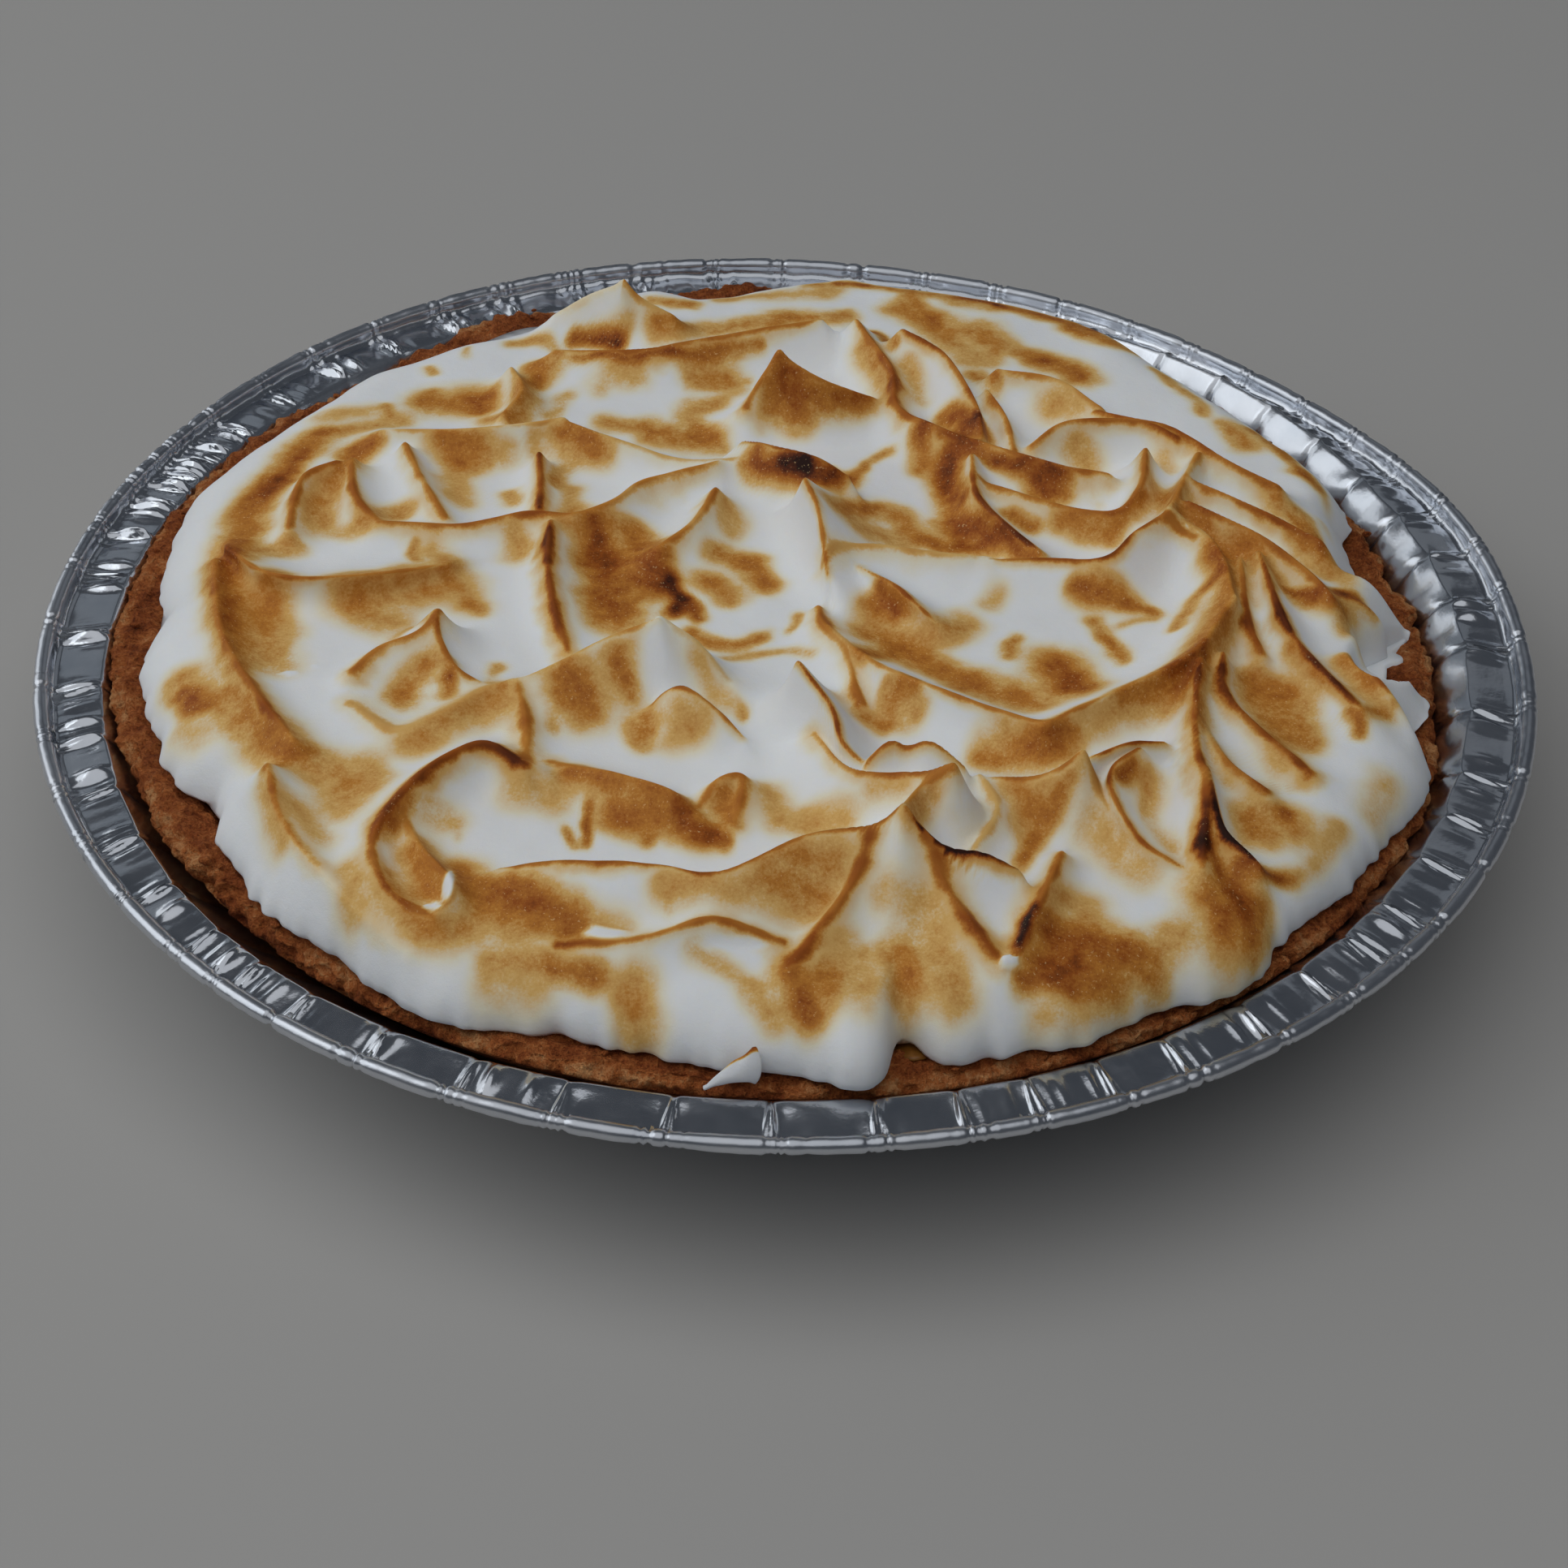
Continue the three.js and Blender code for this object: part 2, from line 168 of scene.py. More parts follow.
def turned(name, outline, steps):  # a closed body, from an outline that starts and ends on the axis
    bpy.ops.object.select_all(action="DESELECT")
    bpy.ops.mesh.primitive_grid_add(x_subdivisions=steps, y_subdivisions=len(outline) - 1, size=2)
    piece = bpy.context.object
    piece.name = name
    across, along, _ = pointsOf(piece).T * mm  # each from -1 to 1
    which = np.rint((along + 1) / 2 * (len(outline) - 1)).astype(int)
    radius, height = np.array(outline)[which].T
    setPoints(piece, fromPolar(math.pi * (1 - across), radius, height))
    edit()
    bpy.ops.mesh.remove_doubles(threshold=0.002 * mm)
    bpy.ops.mesh.normals_make_consistent(inside=False)
    leave()
    bpy.ops.object.shade_smooth()
    return piece


def drawn(marks, spacing):  # an outline with a point every so often between its marks
    outline = []
    for (r0, z0), (r1, z1) in zip(marks, marks[1:]):
        count = max(1, round(math.hypot(r1 - r0, z1 - z0) / spacing))
        outline += [(r0 + (r1 - r0) * i / count, z0 + (z1 - z0) * i / count) for i in range(count)]
    return outline + [marks[-1]]


def tone(red, green, blue):  # a screen colour from 0 to 255, made linear
    parts = [channel / 255 for channel in (red, green, blue)]
    return tuple(c / 12.92 if c < 0.04045 else ((c + 0.055) / 1.055) ** 2.4 for c in parts) + (1.0,)


class Value:  # a socket that can be used in sums
    def __init__(self, finish, socket):
        self.finish = finish
        self.socket = socket

    def maths(self, operation, first, second):
        return self.finish.node("ShaderNodeMath", {"operation": operation}, {0: first, 1: second})

    def __add__(self, other):
        return self.maths("ADD", self, other)

    def __radd__(self, other):
        return self.maths("ADD", other, self)

    def __sub__(self, other):
        return self.maths("SUBTRACT", self, other)

    def __rsub__(self, other):
        return self.maths("SUBTRACT", other, self)

    def __mul__(self, other):
        return self.maths("MULTIPLY", self, other)

    def __rmul__(self, other):
        return self.maths("MULTIPLY", other, self)

    def __pow__(self, other):
        return self.maths("POWER", self, other)


class Finish:  # a material and its nodes
    def __init__(self, name):
        self.material = bpy.data.materials.new(name)
        self.material.use_nodes = True
        self.tree = self.material.node_tree
        self.shader = self.tree.nodes["Principled BSDF"]

    def node(self, kind, settings=None, inputs=None, output=0):
        made = self.tree.nodes.new(kind)
        for key, value in (settings or {}).items():
            if key == "stops":
                self.setStops(made.color_ramp, value)
            else:
                setattr(made, key, value)
        self.feed(made, inputs or {})
        return Value(self, made.outputs[output])

    def setStops(self, ramp, stops):
        while len(ramp.elements) < len(stops):
            ramp.elements.new(1)
        for element, (position, colour) in zip(ramp.elements, stops):
            element.position = position
            element.color = colour

    def feed(self, made, inputs):
        for key, value in inputs.items():
            if isinstance(value, Value):
                self.tree.links.new(value.socket, made.inputs[key])
            else:
                made.inputs[key].default_value = value

    def set(self, **inputs):  # sockets of the shader, by name with their spaces left out
        names = {socket.name.replace(" ", ""): socket.name for socket in self.shader.inputs}
        self.feed(self.shader, {names[key]: value for key, value in inputs.items()})

    def place(self):
        return self.node("ShaderNodeTexCoord", output="Object")

    def noise(self, size, detail=4, rough=0.55, stretch=(1, 1, 1)):  # blobs of that size in millimetres
        spot = self.node("ShaderNodeMapping", {}, {"Vector": self.place(), "Scale": stretch})
        inputs = {"Vector": spot, "Scale": 1 / (size * mm), "Detail": detail, "Roughness": rough}
        return self.node("ShaderNodeTexNoise", {}, inputs)

    def ramp(self, value, *stops):
        return self.node("ShaderNodeValToRGB", {"stops": stops}, {"Fac": value})

    def step(self, value, low, high):  # 0 below low, 1 above high
        inputs = {"Value": value, "From Min": low, "From Max": high}
        return self.node("ShaderNodeMapRange", {"interpolation_type": "SMOOTHSTEP"}, inputs)

    def mix(self, share, first, second, blend="MIX"):
        made = self.tree.nodes.new("ShaderNodeMix")
        made.data_type = "RGBA"
        made.blend_type = blend
        self.feed(made, {0: share, 6: first, 7: second})
        return Value(self, made.outputs[2])

    def bump(self, height, strength, distance, under=None):
        inputs = {"Height": height, "Strength": strength, "Distance": distance * mm}
        if under:
            inputs["Normal"] = under
        return self.node("ShaderNodeBump", {}, inputs)


def dress(piece, finish, slot, *nodes):  # finishes a piece, puts it under the root and hides the imported parts that it takes the place of
    piece.data.materials.clear()
    piece.data.materials.append(finish.material)
    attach(piece, "root")
    if nodes:
        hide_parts(*nodes)


tin = {
    "outerRadius": 114.5,
    "rollRadius": 1.2,
    "rollHeight": 27.8,  # of the rolled edge's centre
    "flangeInner": (104.2, 26.9),
    "flangeOuter": (111.0, 26.2),
    "baseRadius": 82.4,
    "foil": 0.35,
    "columns": 28,  # for each pleat
    "gathered": (0.42, 0.58, 1.4),  # spacing of columns at a pleat, how much it grows, and how soon
    "pleats": 58,
    "pleatWidth": 3.2,  # where a pleat meets the rolled edge
    "pleatRise": 0.5,
    "pleatSizes": (0.75, 1.2),
    "foldCounts": [2, 3],
    "foldShift": 0.3,
    "growth": [(132, 26, 0.7), (310, 30, 0.2)],  # of the pleats, in width and in rise
    "creases": 6,  # beside each pleat
    "creaseReach": 5.4,
    "creaseWidths": (0.4, 1.6),
    "creaseSlope": 0.75,
    "creasing": [(275, 45, -0.6), (170, 40, 0.5)],  # fewer creases at the front, more at the left
    "flangeSag": 0.16,
    "streakRise": 0.055,
    "wallSink": 0.8,  # of a pleat behind the wall's panels
    "panelSwell": 0.5,
    "crumple": 0.16,  # of the wall
    "nicks": 6,  # of the rolled edge for each pleat
    "nickSpread": 1.5,
    "nickWidth": 0.26,
    "notch": 0.3,
    "crush": (0.07, 0.04),  # of the rolled edge, in small dents and in long ones
    # Of the rolled edge and of the flange's inner edge: at, width, lift.
    "bends": [(130, 42, 1.4), (43, 17, -1.5), (14, 13, 1.2), (75, 22, -0.8)],
    "innerBends": [(130, 42, 1.1), (46, 24, 2.7), (8, 14, 0.8), (90, 20, 0.4)],
    "innerReach": [(14, 36, 0.8), (228, 26, 1.7)],  # how far the flange's inner edge is pushed out
    "arches": [(15, 45, 1.5), (330, 22, 1.1)],  # how far the top of each panel bulges up
    "swells": [(15, 48, 1.3), (330, 22, 0.5)],  # of the wall's panels, on top of panelSwell
    # How far pleats have drifted from even spacing, at angles that run clockwise from the right.
    "drift": [(0, 0.4), (12, 5.2), (25, 4.7), (31, 5.2), (43, 3.6), (50, 3.8), (56, 4.6), (68, 3.2),
              (75, 2), (81, 1.8), (87, 2.8), (93, 3.4), (99, 4.7), (118, 7.1), (130, 5.1), (160, 7.4),
              (174, 11.3), (184, 10.9), (216, -8.3), (228, -8), (300, -2.8), (360, 0.4)],
    "seed": 11,
}


def tinOutline():
    (innerR, innerZ), (outerR, outerZ) = tin["flangeInner"], tin["flangeOuter"]
    foil, base, roll = tin["foil"], tin["baseRadius"], tin["rollRadius"]
    centre = tin["outerRadius"] - roll
    top = [(0, foil), (base - 12, foil), (base, foil), (base + 0.8, foil + 0.4), (base + 1.3, foil + 1.1)]
    wall = [(base + 1.3, foil + 1.1), (innerR - 0.5, innerZ - 0.6)]
    turn = [(innerR - 0.5, innerZ - 0.6), (innerR - 0.1, innerZ - 0.12), (innerR + 0.1, innerZ - 0.01)]
    flange = [(innerR + 0.1, innerZ - 0.01), (innerR + 0.4, innerZ), (outerR, outerZ)]
    flange.append((outerR + 0.6, outerZ + 0.1))
    bead = []
    for degrees in range(210, -121, -22):
        a = math.radians(degrees)
        bead.append((centre + roll * math.cos(a), tin["rollHeight"] + roll * math.sin(a)))
    under = [(outerR + 0.9, outerZ - 0.4), (innerR + 0.8, innerZ - foil - 0.1)]
    outside = [(innerR + 0.8, innerZ - foil - 0.1), (innerR - 0.1, innerZ - 1.1), (base + 1.9, foil + 0.9)]
    foot = [(base + 1.9, foil + 0.9), (base + 1.2, 0.15), (base + 0.4, 0), (base - 12, 0), (0, 0)]
    parts = [(top, 40), (wall, 2.2), (turn, 0.5), (flange, 1.0)]
    parts += [(bead, 9), (under, 3.4), (outside, 8), (foot, 60)]
    outline = []
    for marks, spacing in parts:
        line = drawn(marks, spacing)
        outline += line[1:] if outline and line[0] == outline[-1] else line
    return outline


def pleatPlaces():  # the angle of each pleat and of the middle of the panel before it, in radians
    count = tin["pleats"]
    even = np.arange(count) * 360 / count
    marks = np.array(tin["drift"])
    clockwise = even + np.interp(even, marks[:, 0], marks[:, 1])
    places = np.sort(np.radians(360 - clockwise) % (2 * math.pi))
    before = np.roll(places, 1)
    before[0] -= 2 * math.pi
    return places, (places + before) / 2


def makeTin():
    count, columns = tin["pleats"], tin["columns"]
    piece = turned("foilPan", tinOutline(), count * columns)
    points = pointsOf(piece)
    angle, radius = polar(points)
    height = points[:, 2].copy()
    places, starts = pleatPlaces()
    ends = np.append(starts[1:], starts[0] + 2 * math.pi)
    # Columns gather at the pleats, where the foil is folded finely.
    turn = (angle % (2 * math.pi)) / (2 * math.pi) * count
    which = np.floor(turn + 1e-6).astype(int) % count
    share = turn - np.floor(turn + 1e-6)
    offset = share - 0.5
    close, growth, spread = tin["gathered"]
    share = 0.5 + offset * (close + growth * np.abs(2 * offset) ** spread)
    low, middle, high = starts[which], places[which], ends[which]
    before, after = low + (middle - low) * 2 * share, middle + (high - middle) * (2 * share - 1)
    angle = np.where(share < 0.5, before, after)
    away = (angle - middle) * radius  # from the pleat, along the rim
    draw = np.random.default_rng(tin["seed"])
    size = draw.uniform(*tin["pleatSizes"], count)[which]
    folds = draw.choice(tin["foldCounts"], count)[which]
    shift = draw.uniform(-tin["foldShift"], tin["foldShift"], count)[which]
    tilt = draw.uniform(-1, 1, count)[which]
    inner, outer = tin["flangeInner"][0], tin["flangeOuter"][0]
    along = np.clip((radius - inner) / (outer - inner), 0, 1)
    lift = bumps(tin["innerBends"], angle) * (1 - along) + bumps(tin["bends"], angle) * along
    onFlange = (height > tin["flangeInner"][1] - 0.8) & (radius < outer + 0.9)
    # Each pleat starts in a point at the flange's inner edge and widens into two or three sharp folds.
    size *= 1 + bumps(tin["growth"], angle)
    half = 0.12 + 0.5 * tin["pleatWidth"] * size * along**0.85
    zigzag = 1 - np.abs((away / half * folds / 2 + shift) % 1 * 2 - 1)
    lens = np.sin(math.pi * along**0.7) * 0.8 + 0.35 * along
    ridge = smooth(1.2 - np.abs(away / half))
    fade = smooth(2.5 * (1 - np.abs(away / half)))
    rise = tin["pleatRise"] * (0.85 * zigzag + 0.7 * ridge - 0.3) * fade * lens
    rise *= 1 + 2 * bumps(tin["growth"], angle)
    crowd = 1 + bumps(tin["creasing"], angle)
    spans = ((-tin["creaseReach"], tin["creaseReach"]), tin["creaseWidths"], (0, 1))
    for _ in range(tin["creases"]):
        creaseAt, wide, strength = (draw.uniform(*span, count)[which] for span in spans)
        beside = np.abs(away - creaseAt * (0.88 + 0.12 * along)) / (0.1 + wide * lens)
        rise += tin["creaseSlope"] * crowd * strength * wide * np.clip(1 - beside, 0, 1) * lens
    sag = np.cos(2 * math.pi * share) - 1 + 1.2 * tilt * np.sin(2 * math.pi * share)
    rise += tin["flangeSag"] * sag * smooth(along * 2)
    streaks = grain(np.stack([angle * inner, radius * 0.25, 0 * radius], 1), 1.8, 4)
    rise += tin["streakRise"] * streaks * smooth(along * 4)
    height += np.where(onFlange, rise, 0)
    # Wall: pleats sink behind convex panels, which fade towards the base and the flange.
    onWall = (height > 2) & (radius < inner + 1.5) & ~(onFlange & (along > 0.2))
    climb = smooth((height - 3) / 16) * (1 - 0.7 * smooth((height - 22) / 3.5))
    sunk = tin["wallSink"] * np.exp(-((away / (0.7 * size)) ** 2))
    sunk += 0.25 * np.exp(-(((away - 1.6 * tilt) / 0.5) ** 2))
    swell = (tin["panelSwell"] + bumps(tin["swells"], angle)) * smooth(np.clip(np.abs(away) / 5, 0, 1))
    crumple = tin["crumple"] * grain(np.stack([angle * 104, height, 0 * height], 1), 5, 9)
    radius += np.where(onWall, climb * (sunk - swell * 0.6 + crumple), 0)
    arch = bumps(tin["arches"], angle) * smooth(1.3 - np.abs(2 * offset))
    height += np.where(onWall, arch * smooth((height - 18) / 4) * smooth((27 - height) / 3), 0)
    # Rolled edge: nicked at the pleats and slightly crumpled between them.
    centre = tin["outerRadius"] - tin["rollRadius"]
    onRoll = radius > outer + 0.85
    nick = np.zeros_like(radius)
    for _ in range(tin["nicks"]):
        nickAt = draw.normal(0, tin["nickSpread"], count)[which]
        depth = draw.uniform(0.2, 1, count)[which]
        nick += depth * np.exp(-(((away - nickAt) / tin["nickWidth"]) ** 2))
    crush = 1 - tin["notch"] * np.minimum(nick, 1.2)
    crush -= tin["crush"][0] * grain(np.stack([angle * 114, height * 0.3, 0 * height], 1), 1.3, 3)
    crush -= tin["crush"][1] * grain(np.stack([angle * 114, 0 * height, 0 * height], 1), 6, 5)
    radius = np.where(onRoll, np.minimum(centre + (radius - centre) * crush, tin["outerRadius"]), radius)
    radius += bumps(tin["innerReach"], angle) * smooth((height - 12) / 12) * (1 - along)
    height = np.where(onRoll, tin["rollHeight"] + (height - tin["rollHeight"]) * crush, height)
    height += lift * np.clip(height / 26, 0, 1) ** 2
    setPoints(piece, fromPolar(angle, radius, np.maximum(height, 0)))
    setAmount(piece, "worn", np.where(onRoll, 1, 0.45 * smooth((height - 10) / 8) * (radius < inner + 0.6)))
    return piece


def foilFinish():
    finish = Finish("brightFoil")
    smear = finish.noise(9, 5, 0.6)
    scratch = finish.noise(0.7, 3, 0.6, (1, 1, 0.2))
    worn = finish.node("ShaderNodeAttribute", {"attribute_name": "worn"}, output="Fac")
    finish.set(
        BaseColor=finish.ramp(smear, (0.3, tone(208, 213, 221)), (0.7, tone(226, 229, 235))),
        Metallic=1.0,
        Roughness=finish.step(smear, 0.25, 0.8) * 0.08 + 0.13 + worn * 0.14,
        Normal=finish.bump(scratch, 0.1, 0.1, finish.bump(finish.noise(2.6, 4, 0.6), 0.25, 0.2)),
    )
    return finish


crust = {
    "thickness": 5.6,
    "brimRadius": 102.7,
    "brimHeight": 27.5,
    "brimWidth": 7.6,
    "brimRound": 1.9,
    "backLift": 1.5,
    "roughness": 0.45,
    # Of the edge and of the brim's top: at, width, by.
    "pulls": [(228, 18, -0.9), (172, 26, 1.6), (265, 22, 1.2), (305, 18, 1.6),
              (330, 13, 0.9), (351, 10, -1.7), (8, 17, -2.0)],
    "lifts": [(122, 8, 2.5), (154, 9, 1.6), (98, 6, 2.6), (14, 30, -2.2), (180, 20, 0.8), (85, 2, 1.5)],
    "floor": 0.9,
    "baseRadius": 81.2,
    "clearance": 0.35,  # to the tin's wall
    "columns": 1400,
    "seed": 5,
    "cracks": 26,
    "crackDepths": (0.3, 1.1),
    "crackWidth": 0.35,
    "torn": [(0.7, 4.2, 21), (0.65, 1.9, 22), (0.45, 0.9, 23)],  # of its edge: by, size, seed
    "crumb": [(0.3, 1.9, 26), (0.36, 1.3, 24), (0.26, 0.7, 25)],
}
fillingLevel = 25.2
fillingTongue = (281.4, 1.8, 5.0)  # at, width, reach


def wallRadius(angle, height):  # of the tin's inner wall
    low, high = tin["foil"] + 1.2, tin["flangeInner"][1] + bumps(tin["innerBends"], angle)
    foot = tin["baseRadius"] + 1
    radius = foot + (tin["flangeInner"][0] - tin["baseRadius"] - 1) * (height - low) / (high - low)
    return radius - 0.7 * bumps(tin["swells"], angle) * smooth((height - 3) / 12)


def brimHeight(angle):
    back = crust["backLift"] * np.clip(np.sin(angle), 0, 1) ** 2
    return crust["brimHeight"] + back + bumps(crust["lifts"], angle) + crust["roughness"] * rough(angle, 2)


def brimRadius(angle):
    free = crust["brimRadius"] + bumps(crust["pulls"], angle) + crust["roughness"] * 0.6 * rough(angle, 1)
    return np.minimum(free, wallRadius(angle, brimHeight(angle) - 1) - crust["clearance"])


def makeCrust():
    width, top, radius = crust["brimWidth"], crust["brimHeight"], crust["brimRadius"]
    innerFloor, innerBase = crust["floor"] + crust["thickness"], crust["baseRadius"] - 2.5
    hidden = [(0, innerFloor), (innerBase, innerFloor), (radius - width - 1, fillingLevel)]
    brim = [(radius - width - 1, fillingLevel), (radius - width, top - 0.7), (radius - width * 0.45, top),
            (radius - 1.5, top - 0.35), (radius - 0.5, top - crust["brimRound"] / 2), (radius, top - 3),
            (radius - 1.6, top - 6)]
    wall = [(radius - 1.6, top - 6), (crust["baseRadius"], crust["floor"]), (0, crust["floor"])]
    outline = drawn(hidden, 60) + drawn(brim, 0.42)[1:] + drawn(wall, 9)[1:]
    piece = turned("pieCrust", outline, crust["columns"])
    points = pointsOf(piece)
    angle, reach = polar(points)
    height = points[:, 2].copy()
    rise = smooth((height - 16) / 8)
    # From 0 on the inside of the brim to 1 on its edge.
    out = np.clip((reach - radius + width + 1) / (width + 1), 0, 1)
    reach += rise * (brimRadius(angle) - radius)
    height += rise * (brimHeight(angle) - top)
    spot = fromPolar(angle, reach, height)
    draw = np.random.default_rng(crust["seed"])
    places = draw.uniform(0, 2 * math.pi, crust["cracks"])
    depths = draw.uniform(*crust["crackDepths"], crust["cracks"])
    for at, depth in zip(places, depths):
        bend = 0.012 * np.sin(reach * 1.9 + at * 7)
        gap = np.abs((angle - at - bend + math.pi) % (2 * math.pi) - math.pi) * reach
        cut = depth * np.exp(-((gap / crust["crackWidth"]) ** 2)) * rise * smooth((out - 0.35) * 2.2)
        reach -= cut * 0.8
        height -= cut * 0.6
    torn = layers(spot, crust["torn"])
    crumb = layers(spot, crust["crumb"])
    edge = smooth((out - 0.55) * 3) * rise
    reach += edge * (torn * 1.4 - 0.4)
    height += rise * (crumb + 0.35 * torn * (1 - 0.4 * edge)) - 0.35 * edge * np.abs(torn)
    limit = wallRadius(angle, height) - crust["clearance"] - 0.25 * (rise < 0.5)
    reach = np.where(height > 2, np.minimum(reach, limit), reach)
    setPoints(piece, fromPolar(angle, reach, height))
    # Painted highlight: the rim amount makes a lighter band along the brim's outer top edge, and the colour
    # is made a little darker again at the outermost lip.
    rim = rise * np.exp(-(((out - 0.88) / 0.1) ** 2)) - rise * smooth((out - 0.97) / 0.03)
    setAmount(piece, "rim", rim)
    return piece


def crustFinish():
    finish = Finish("shortPastry")
    blotch, crumb, fine = finish.noise(7, 4), finish.noise(1.1, 5, 0.65), finish.noise(0.35, 3, 0.6)
    rim = finish.node("ShaderNodeAttribute", {"attribute_name": "rim"}, output="Fac")
    # The rim amount lifts the colour along the brim's outer top edge as a painted highlight.
    baked = blotch * 0.45 + crumb * 0.35 + fine * 0.2 + rim * 0.07 - 0.02
    colour = finish.ramp(
        baked,
        (0.37, tone(108, 49, 21)), (0.46, tone(163, 85, 41)),
        (0.54, tone(200, 117, 61)), (0.64, tone(230, 168, 110)),
    )
    speck = finish.step(finish.noise(0.8, 2, 0.5, (1.3, 0.8, 1)), 0.62, 0.72)
    finish.set(
        BaseColor=finish.mix(speck * 0.45, colour, tone(104, 50, 24)),
        Roughness=0.88 - finish.step(crumb, 0.4, 0.7) * 0.1,
        SpecularIORLevel=0.2,
        Normal=finish.bump(fine, 0.6, 0.5, finish.bump(crumb, 1.0, 2.6)),
    )
    return finish


def makeFilling():
    rim = crust["brimRadius"] - crust["brimWidth"] - 1.4
    low = crust["floor"] + crust["thickness"] + 0.4
    marks = [(0, fillingLevel), (rim - 1.2, fillingLevel), (rim - 0.3, fillingLevel - 0.25),
             (rim - 0.9, fillingLevel - 1), (crust["baseRadius"] - 4, low), (0, low)]
    piece = turned("lemonFilling", drawn(marks, 5), 360)
    points = pointsOf(piece)
    angle, radius = polar(points)
    height = points[:, 2]
    rise = smooth((height - 14) / 8)
    radius += rise * (brimRadius(angle) - crust["brimRadius"]) * np.clip(radius / rim, 0, 1)
    ripple = 0.12 * grain(points, 6, 31) - 0.1
    # A tongue of it has run out over the brim where the foam leaves a gap.
    tongue = bumps([fillingTongue], angle) * smooth((radius - rim + 7) / 5) * rise
    radius += tongue * smooth((height - 24) / 1)
    climb = np.maximum(brimHeight(angle) + 0.5 - height, 0)
    height += tongue / fillingTongue[2] * climb * smooth((height - 24) / 1)
    setPoints(piece, fromPolar(angle, radius, height + rise * ripple))
    return piece


def fillingFinish():
    finish = Finish("lemonCurd")
    cloud = finish.noise(5, 3)
    finish.set(
        BaseColor=finish.ramp(cloud, (0.35, tone(118, 74, 26)), (0.65, tone(160, 110, 44))),
        Roughness=finish.step(cloud, 0.3, 0.7) * 0.15 + 0.22,
        SubsurfaceWeight=0.3,
        SubsurfaceRadius=(0.8, 0.5, 0.15),
        SubsurfaceScale=2 * mm,
        Normal=finish.bump(finish.noise(1.6, 3), 0.2, 0.3),
    )
    return finish


foam = {
    "footRound": 0.7,
    "shoulder": 10.0,
    "topHeight": 36.2,
    "crown": 1.8,
    "lead": 8,  # how strongly the taller of two crests leads where they meet
    "seatGap": 0.35,
    "easing": 1,
    "tipRound": 0.3,
    "tipLift": 0.3,
    "crowd": 5,  # how strongly the mesh is drawn together along the crests
    "crowdWidth": 1.6,
    "crowdRounds": 90,
    "mapStep": 0.4,
    "steepest": 0.8,  # a crest's scoops are at least this wide for its height
    "squares": 305,  # of the mesh along each side, before it is rounded to a disc
    # How far the foot reaches, at angles from the right round to the back.
    "foot": [(0, 95), (0.8, 96.2), (2.6, 98.2), (3.6, 93.5), (6, 91.5), (8.7, 91), (12.8, 92.8),
             (17.2, 93.6), (18.6, 96.3), (22.7, 97.6), (27, 97), (30, 96), (40, 95.2), (50, 96.8),
             (55, 99), (60, 100), (70, 99.5), (80, 98.5), (85, 99.5), (90, 97.7), (97, 93.6), (102, 93),
             (106, 98), (109, 97.5), (112, 95), (115, 92.7), (120, 90.5), (125, 91.6), (130, 94),
             (136, 95.7), (140, 97.5), (146, 96), (155, 96.5), (160, 98.3), (165, 99.8), (170, 99.2),
             (176, 98.3), (180, 96.8), (183.5, 95), (187, 96.8), (191, 98.5), (195, 98.8), (200, 97.8),
             (205, 98.3), (209, 97.3), (211.5, 94), (213.5, 94.5), (216, 97), (220, 98), (225, 100),
             (235, 100.5), (238, 101.5), (241, 102.3), (245, 103), (248, 101.5), (251, 100.3), (260, 99),
             (263, 100), (270, 101.5), (274, 102), (275.7, 105), (277.6, 104.6), (279, 101.5),
             (280, 95.2), (281, 96), (282.2, 99.5), (283.6, 101.5), (290, 101.2), (291.6, 103),
             (294, 102.4), (299, 101), (302.3, 101.2), (304.3, 103.3), (308, 104.3), (310.2, 103.3),
             (312.2, 100.6), (320, 100.2), (330, 100), (333, 101), (337, 102), (339, 101), (341.3, 99.7),
             (344.7, 97.2), (346.8, 97.2), (349.6, 98.8), (352, 97.6), (353, 92.2), (356.3, 91),
             (357.3, 94), (358.1, 97), (359.2, 94.4), (360, 95)],
    "ragged": 0.6,
    # Unevenness of the foot's edge, the top and the side: by, size, seed.
    "edgeGrain": [(0.9, 3.1, 46), (0.8, 1.5, 47)],
    "topGrain": [(0.35, 11, 41), (0.12, 4, 42)],
    "sideGrain": [(0.3, 6, 43), (0.12, 2, 44)],
    # How much the foam thins out to its foot: at, width, by.
    "thin": [(185, 40, 0.5), (349, 9, 1.7), (4, 7, 1.6), (14, 24, 0.9), (40, 30, 0.3), (98, 7, 0.9),
             (125, 25, 0.5)],
}

